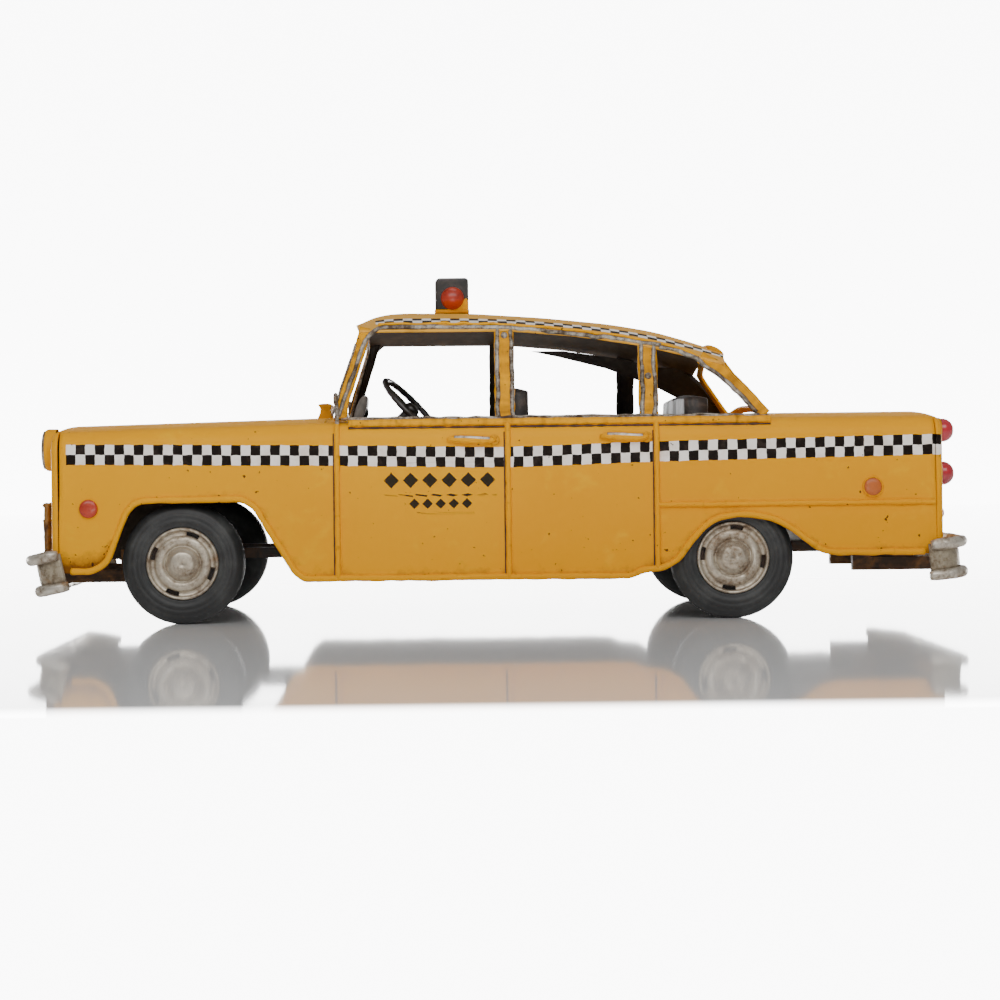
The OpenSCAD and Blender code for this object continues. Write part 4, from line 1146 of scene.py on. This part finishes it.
def plate(name, outline, axis, low, high, material, slot, replaces=(), bevel=0.5):
    """A prism with bevelled edges."""
    obj = make_object(name, *prism(outline, axis, low, high), material, slot=slot, replaces=replaces,
                      smooth=False)
    tidy(obj, 0.001)
    add_modifier(obj, "BEVEL", width=bevel * MM, segments=3, limit_method="ANGLE")
    return obj


build_grille()


# ---- handles, mirrors, cowl scoop, sign, cabin fittings ----

def build_handle(x, z, label):
    """A yellow pull on two feet, with a bright silver strip along its top that is a painted highlight."""
    line = rounded_path([(x - 10.2, -HALF_W - 0.2, z + 0.6), (x - 8.4, -HALF_W - 1.6, z + 0.9),
                         (x - 3, -HALF_W - 2.6, z + 0.5), (x + 5, -HALF_W - 2.7, z + 0.0),
                         (x + 8.8, -HALF_W - 1.9, z + 0.2), (x + 10, -HALF_W - 0.3, z + 0.6)], 3, 0.8)
    n = len(line)
    normals = np.tile([0, -0.25, 0.97], (n, 1))
    sec = oval_section(1.25, 1.55, 12)
    grow = np.sin(np.linspace(0.25, math.pi - 0.25, n)) ** 0.5
    low = sweep(line, normals, sec, scale=grow)
    finish_bars("door_handle_" + label, [low], PAINT_BEAD, "body_paint", wear=0.3)
    # the silver strip along the top is a painted highlight
    top = sweep(line[4:-4] + np.array([0, -0.35, 0.62]), normals[4:-4],
                [(a * 0.62, b * 0.75) for a, b in sec], scale=grow[4:-4])
    finish_bars("door_handle_cap_" + label, [top], SILVER_BRIGHT, "aged_silver",
                ["door_handles"] if label == "front" else ())
    boss = [(2.3, 0.3), (2.3, -0.5), (1.7, -0.9), (0.8, -0.7), (0.001, -0.4)]
    seat = lathe(boss, 24, "y", (x + 9.6, -HALF_W, z + 0.2))
    finish_bars("door_handle_seat_" + label, [seat], PAINT_BEAD, "body_paint", wear=0.75)


build_handle(-10.5, 77, "front")
build_handle(54.4, 77.6, "rear")

mirror_x = -68.2
stalk = [(mirror_x + 0.4, -71.6, 84.6), (mirror_x + 0.5, -73.0, 88.5), (mirror_x + 0.2, -73.3, 94)]
stalk = rounded_path(stalk, 3, 0.8)
stalk = sweep(stalk, np.tile([1.0, 0, 0], (len(stalk), 1)), oval_section(0.9, 0.9, 8))
disc = lathe([(0.001, -0.9), (2.0, -0.95), (2.7, -0.5), (2.8, 0.2), (2.4, 0.8), (0.001, 0.9)], 28, "x",
             (mirror_x, -73.2, 95.4))
finish_bars("mirror_heads", [stalk, disc], SILVER, "aged_silver", ["door_mirrors"])

CROWN_Z = BELT_Z + CROWN
scoop = [(-79.5, -0.6), (-78.2, 2.4), (-78.1, 4.6), (-79.6, 6.1), (-76.2, 6.5), (-72.7, 6.2), (-73.6, 4.4),
         (-73.5, 2), (-73, -0.6)]
scoop = rounded_path([(x, CROWN_Z + rise) for x, rise in scoop], 1.4, 0.8)
even_wear(plate("cowl_scoop", scoop, "y", -13, 13, PAINT_BEAD, "body_paint", ["cowl_vent"], 0.8), 0.8)

leaf = rounded_path([(-63.6, 86.6), (-62.5, 92), (-60.4, 97), (-58.2, 99), (-56.9, 98.3), (-56.8, 95),
                     (-58, 90.5), (-60, 86.6)], 2.5, 0.8)
plate("instrument_leaf", leaf, "y", -11.5, 7.5, GREY, "grey_tin", ["instrument_hood"], 0.7)
lamp("instrument_knob", [(1.9, -2.4), (2.5, -1.9), (2.6, 0.4), (1.6, 1.4), (0.001, 1.6)], [(-58.2, -4, 91)],
     "x", 1, BLACK, "grey_tin")

dash = rounded_path([(-63.8, 66), (-60, 66), (-57.7, 70), (-57.7, 82), (-60, 85), (-63.8, 85)], 1.5, 1.0)
plate("dashboard_panel", dash, "y", -63.6, 63.6, CHASSIS, "brown_paint", ["dashboard"], 0.8)
for k, y in enumerate((-44, -33, -22)):
    lamp("dash_gauge_%d" % k, [(4.2, -0.2), (4.2, 0.6), (3.6, 0.9), (3.2, 0.5), (0.001, 0.5)],
         [(-57.7, y, 76)], "x", 1, GREY, "grey_tin")

sign_low, sign_high = box_mm("roof_sign")
sign_mid = (sign_low + sign_high) / 2


def build_sign():
    """Roof sign: a black case on a yellow foot, with a red dome and a stay at each end."""
    x0, x1 = sign_low[0] + 0.1, sign_high[0] - 0.1
    z0, z1 = sign_low[2], sign_high[2] - 0.1
    y0, y1 = sign_low[1] + 0.3, sign_high[1] - 0.3
    body = rounded_path([(x0, z0 + 0.9), (x0, z1 - 1.6), (x0 + 1.2, z1), (x1 - 0.7, z1), (x1, z1 - 0.9),
                         (x1, z0 + 0.9)], 0.8, 0.9)
    plate("roof_sign_case", body, "y", y0, y1, BLACK, "black_paint", ["roof_sign"], 0.7)
    foot = [(x0 - 0.3, z0 - 0.3), (x1 + 0.3, z0 - 0.3), (x1 + 0.3, z0 + 1.3), (x0 - 0.3, z0 + 1.3)]
    foot = plate("roof_sign_foot", foot, "y", y0 - 0.2, y1 + 0.2, PAINT_BEAD, "body_paint", (), 0.35)
    even_wear(foot, 0.55)
    for sign, label in ((-1, "left"), (1, "right")):
        place = [(sign_mid[0] + 0.3, sign * (y1 - 0.2), sign_low[2] + 6.2)]
        lamp("roof_sign_dome_" + label, dome_profile(5.3, 3.9, 0.0), place, "y", sign, RED, "red_lens",
             ["roof_sign_lenses"] if sign < 0 else ())
        stay = [(x0 + 4, z0 + 1), (x1 - 0.2, z0 + 1), (x1 - 0.3, z0 + 5.6), (x1 - 1.2, z0 + 6.4),
                (x1 - 2.4, z0 + 5), (x1 - 5, z0 + 2.2)]
        inner, outer = sorted((sign * (y1 - 0.4), sign * (y1 + 0.35)))
        stay = plate("roof_sign_stay_" + label, stay, "y", inner, outer, PAINT_BEAD, "body_paint", (), 0.25)
        even_wear(stay, 0.5)


build_sign()

RIM_R = 17
hub = np.array([-36.2, -33, 91.9])
tilt = math.radians(90 - 43.5)
yaw = math.radians(9)


def on_wheel(p):
    """From the steering wheel's own frame (axis +Z) to the car."""
    x, y, z = p
    y, z = y * math.cos(yaw) - z * math.sin(yaw), y * math.sin(yaw) + z * math.cos(yaw)
    x, z = x * math.cos(tilt) + z * math.sin(tilt), -x * math.sin(tilt) + z * math.cos(tilt)
    return hub + np.array([x, y, z])


def build_steering():
    """Wheel with a ribbed rim and three spokes, and its column."""
    ring_pts, parts = [], []
    for k in range(96):
        a = 2 * math.pi * k / 96
        r = 1.35 + 0.07 * math.cos(24 * a)
        for j in range(12):
            b = 2 * math.pi * j / 12
            reach = RIM_R + r * math.cos(b)
            ring_pts.append(on_wheel((reach * math.cos(a), reach * math.sin(a), r * math.sin(b))))
    parts.append((ring_pts, grid_faces(96, 12, True, True)))
    for deg in (90, 210, 330):
        a = math.radians(deg)
        d, e = np.array([math.cos(a), math.sin(a), 0]), np.array([-math.sin(a), math.cos(a), 0])
        sec = [(1.5, 0.5), (-1.5, 0.5), (-1.5, -0.5), (1.5, -0.5)]
        verts = [on_wheel(d * t + e * u * (1.3 - t / 40) + np.array([0, 0, v - 1.1 * (1 - t / RIM_R) ** 2]))
                 for t in np.linspace(1.5, 16.6, 9) for u, v in sec]
        parts.append((verts, grid_faces(9, 4, wrap_v=True)))
    prof = [(0.001, -2.4), (2.6, -2.2), (3.5, -1.0), (3.4, 0.6), (2.4, 1.3), (0.001, 1.6)]
    verts, faces = lathe(prof, 28, "z")
    parts.append(([on_wheel(v) for v in verts], faces))
    tidy(make_object("steering_rim", *merged(parts), BLACK, slot="black_paint",
                     replaces=["steering_wheel"]), 0.001)
    prof = [(1.6, -2.0), (2.3, -3), (2.3, -9), (1.6, -10), (1.6, -30), (0.001, -30)]
    verts, faces = lathe(prof, 24, "z")
    verts = [on_wheel(v) for v in verts]
    tidy(make_object("steering_tube", verts, faces, BLACK, slot="black_paint",
                     replaces=["steering_column"]), 0.001)


build_steering()


ROUNDING = 0.16


def bench(name, node, panels, bulge, seed):
    """A padded bench part from its CAD box: soft edges, pulled seams and creases."""
    low, high = box_mm(node)
    size = high - low
    thin = int(np.argmin(size))
    bm = bmesh.new()
    bmesh.ops.create_cube(bm, size=1.0)
    bmesh.ops.subdivide_edges(bm, edges=bm.edges, cuts=20, use_grid_fill=True)
    rng = np.random.default_rng(seed)
    bumps = [(rng.uniform(-1, 1, 3) * size / 2, rng.uniform(6, 14), rng.uniform(-0.9, 0.9))
             for _ in range(60)]
    for v in bm.verts:
        p = np.array(v.co) * 2
        rounded = p / np.linalg.norm(p) * max(np.abs(p))
        pos = (p * (1 - ROUNDING) + rounded * ROUNDING * 1.25) * size / 2 * 0.985
        seam = sum(math.exp(-((pos[1] + size[1] / 2 - size[1] * k / panels) / 2.2) ** 2)
                   for k in range(1, panels))
        fold = sum(a * math.exp(-(np.linalg.norm(pos - c) / w) ** 2) for c, w, a in bumps)
        push = bulge * (1 - abs(p[(thin + 1) % 3]) ** 2) * (1 - 0.7 * seam) - 1.4 * seam + 0.45 * fold
        direction = np.zeros(3)
        direction[thin] = np.sign(p[thin]) * abs(p[thin]) ** 3
        pos = pos + direction * (push - bulge)
        v.co = Vector((pos + (low + high) / 2) * MM)
    bmesh.ops.recalc_face_normals(bm, faces=bm.faces)
    mesh = bpy.data.meshes.new(name)
    bm.to_mesh(mesh)
    bm.free()
    mesh.materials.append(HIDE)
    mesh.polygons.foreach_set("use_smooth", [True] * len(mesh.polygons))
    obj = bpy.data.objects.new(name, mesh)
    bpy.context.scene.collection.objects.link(obj)
    add_modifier(obj, "SUBSURF", levels=1, render_levels=1)
    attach(obj, BODY)
    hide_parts(node)


for row, seed in (("front", 1), ("rear", 3)):
    bench(row + "_seat_cushion", row + "_seat_base", 3, 1.2, seed)
    bench(row + "_seat_rest", row + "_seat_back", 3, 1.0, seed + 1)


# ---- nodes carried over from the frame ----

def dress(node, material):
    """Gives a carried-over CAD node its material."""
    obj = bpy.data.objects[node]
    obj.data.materials.clear()
    obj.data.materials.append(material)
    return obj


for node, material in (("floor_pan", CHASSIS), ("left_chassis_rail", CHASSIS),
                       ("right_chassis_rail", CHASSIS), ("bumper_brackets", STRAP),
                       ("front_axle_hangers", CHASSIS), ("motor_plates", STEEL),
                       ("front_axle_shaft", STEEL), ("rear_axle_shaft", STEEL), ("drive_gear", BRASS),
                       ("layshaft", BRASS), ("flywheel", STEEL), ("flywheel_shaft", STEEL)):
    add_modifier(dress(node, material), "BEVEL", width=0.12 * MM, segments=2, limit_method="ANGLE")


# ---- floor, light and camera ----

def stage_sheet(name, corners, material):
    mesh = bpy.data.meshes.new(name)
    mesh.from_pydata(corners, [], [(0, 1, 2, 3)])
    mesh.materials.append(material)
    obj = bpy.data.objects.new(name, mesh)
    bpy.context.scene.collection.objects.link(obj)
    return obj


def table_material():
    """A pale glossy table that mirrors the car, with a plain white sheet of light let into its front."""
    m = Nodes("pale_table")
    place = m.split(m.coords)
    front = m.minus(1.0, m.step(place[1], -0.437, -0.405))
    sheet = m.math("LESS_THAN", m.math("ABSOLUTE", m.plus(place[0], 0.01)), 0.17)
    front = m.times(m.times(front, sheet), m.math("GREATER_THAN", place[1], -0.84))
    m.put(m.shader.inputs["Emission Strength"], m.times(front, WHITE_GLOW))
    m.put(m.shader.inputs["Specular IOR Level"], m.times(m.minus(1.0, front), 0.55))
    m.shader.inputs["Emission Color"].default_value = (1, 1, 1, 1)
    m.shader.inputs["Roughness"].default_value = 0.05
    return m.set(Base_Color=(0.95, 0.95, 0.95))


def backdrop_material():
    m = Nodes("white_backdrop")
    m.shader.inputs["Emission Color"].default_value = (1, 1, 1, 1)
    m.shader.inputs["Emission Strength"].default_value = WHITE_GLOW
    return m.set(Base_Color=(0.9, 0.9, 0.9), Roughness=1.0)


def add_light(name, energy, size, location, target, size_y=None):
    light = bpy.data.lights.new(name, "AREA")
    light.energy = energy
    light.size = size
    if size_y:
        light.shape = "RECTANGLE"
        light.size_y = size_y
    obj = bpy.data.objects.new(name, light)
    obj.location = location
    obj.rotation_euler = (Vector(target) - Vector(location)).to_track_quat("-Z", "Y").to_euler()
    bpy.context.scene.collection.objects.link(obj)


BACKDROP_Y = 2.2
MIRRORED_Z = 0.29
WHITE_GLOW = 9.0
ROLL = math.radians(-0.66)


def build_stage():
    """A white studio: table, backdrop whose lower strip mirrors in it, two lights and the camera."""
    world = bpy.data.worlds.new("studio")
    bpy.context.scene.world = world
    world.use_nodes = True
    world.node_tree.nodes["Background"].inputs["Color"].default_value = (1, 1, 1, 1)
    world.node_tree.nodes["Background"].inputs["Strength"].default_value = 0.3
    far = BACKDROP_Y
    stage_sheet("table", [(-6, -3, 0), (6, -3, 0), (6, far, 0), (-6, far, 0)], table_material())
    white = backdrop_material()

    def screen(name, low, high):
        return stage_sheet(name, [(-3, far, low), (3, far, low), (3, far, high), (-3, far, high)], white)
    screen("backdrop_low", 0, MIRRORED_Z)
    high = screen("backdrop_high", MIRRORED_Z, 0.9)
    high.visible_glossy = False
    add_light("key", 23, 2.4, (0, -1.5, 1.2), (0, 0, 0.06), 0.9)
    add_light("top", 3, 1.2, (0.1, 0.1, 1.5), (0, 0, 0.1), 0.6)

    camera = bpy.data.cameras.new("camera")
    camera.sensor_width = 36
    camera.lens = 84.7
    camera.shift_x = 0.05
    camera.shift_y = -0.0389
    eye = bpy.data.objects.new("camera", camera)
    eye.location = (-0.01985, -1.075, 0.0685)
    eye.rotation_euler = (Vector((0, 1, 0)).to_track_quat("-Z", "Z").to_matrix()
                          @ Matrix.Rotation(ROLL, 3, "Z")).to_euler()
    bpy.context.scene.collection.objects.link(eye)
    bpy.context.scene.camera = eye


build_stage()
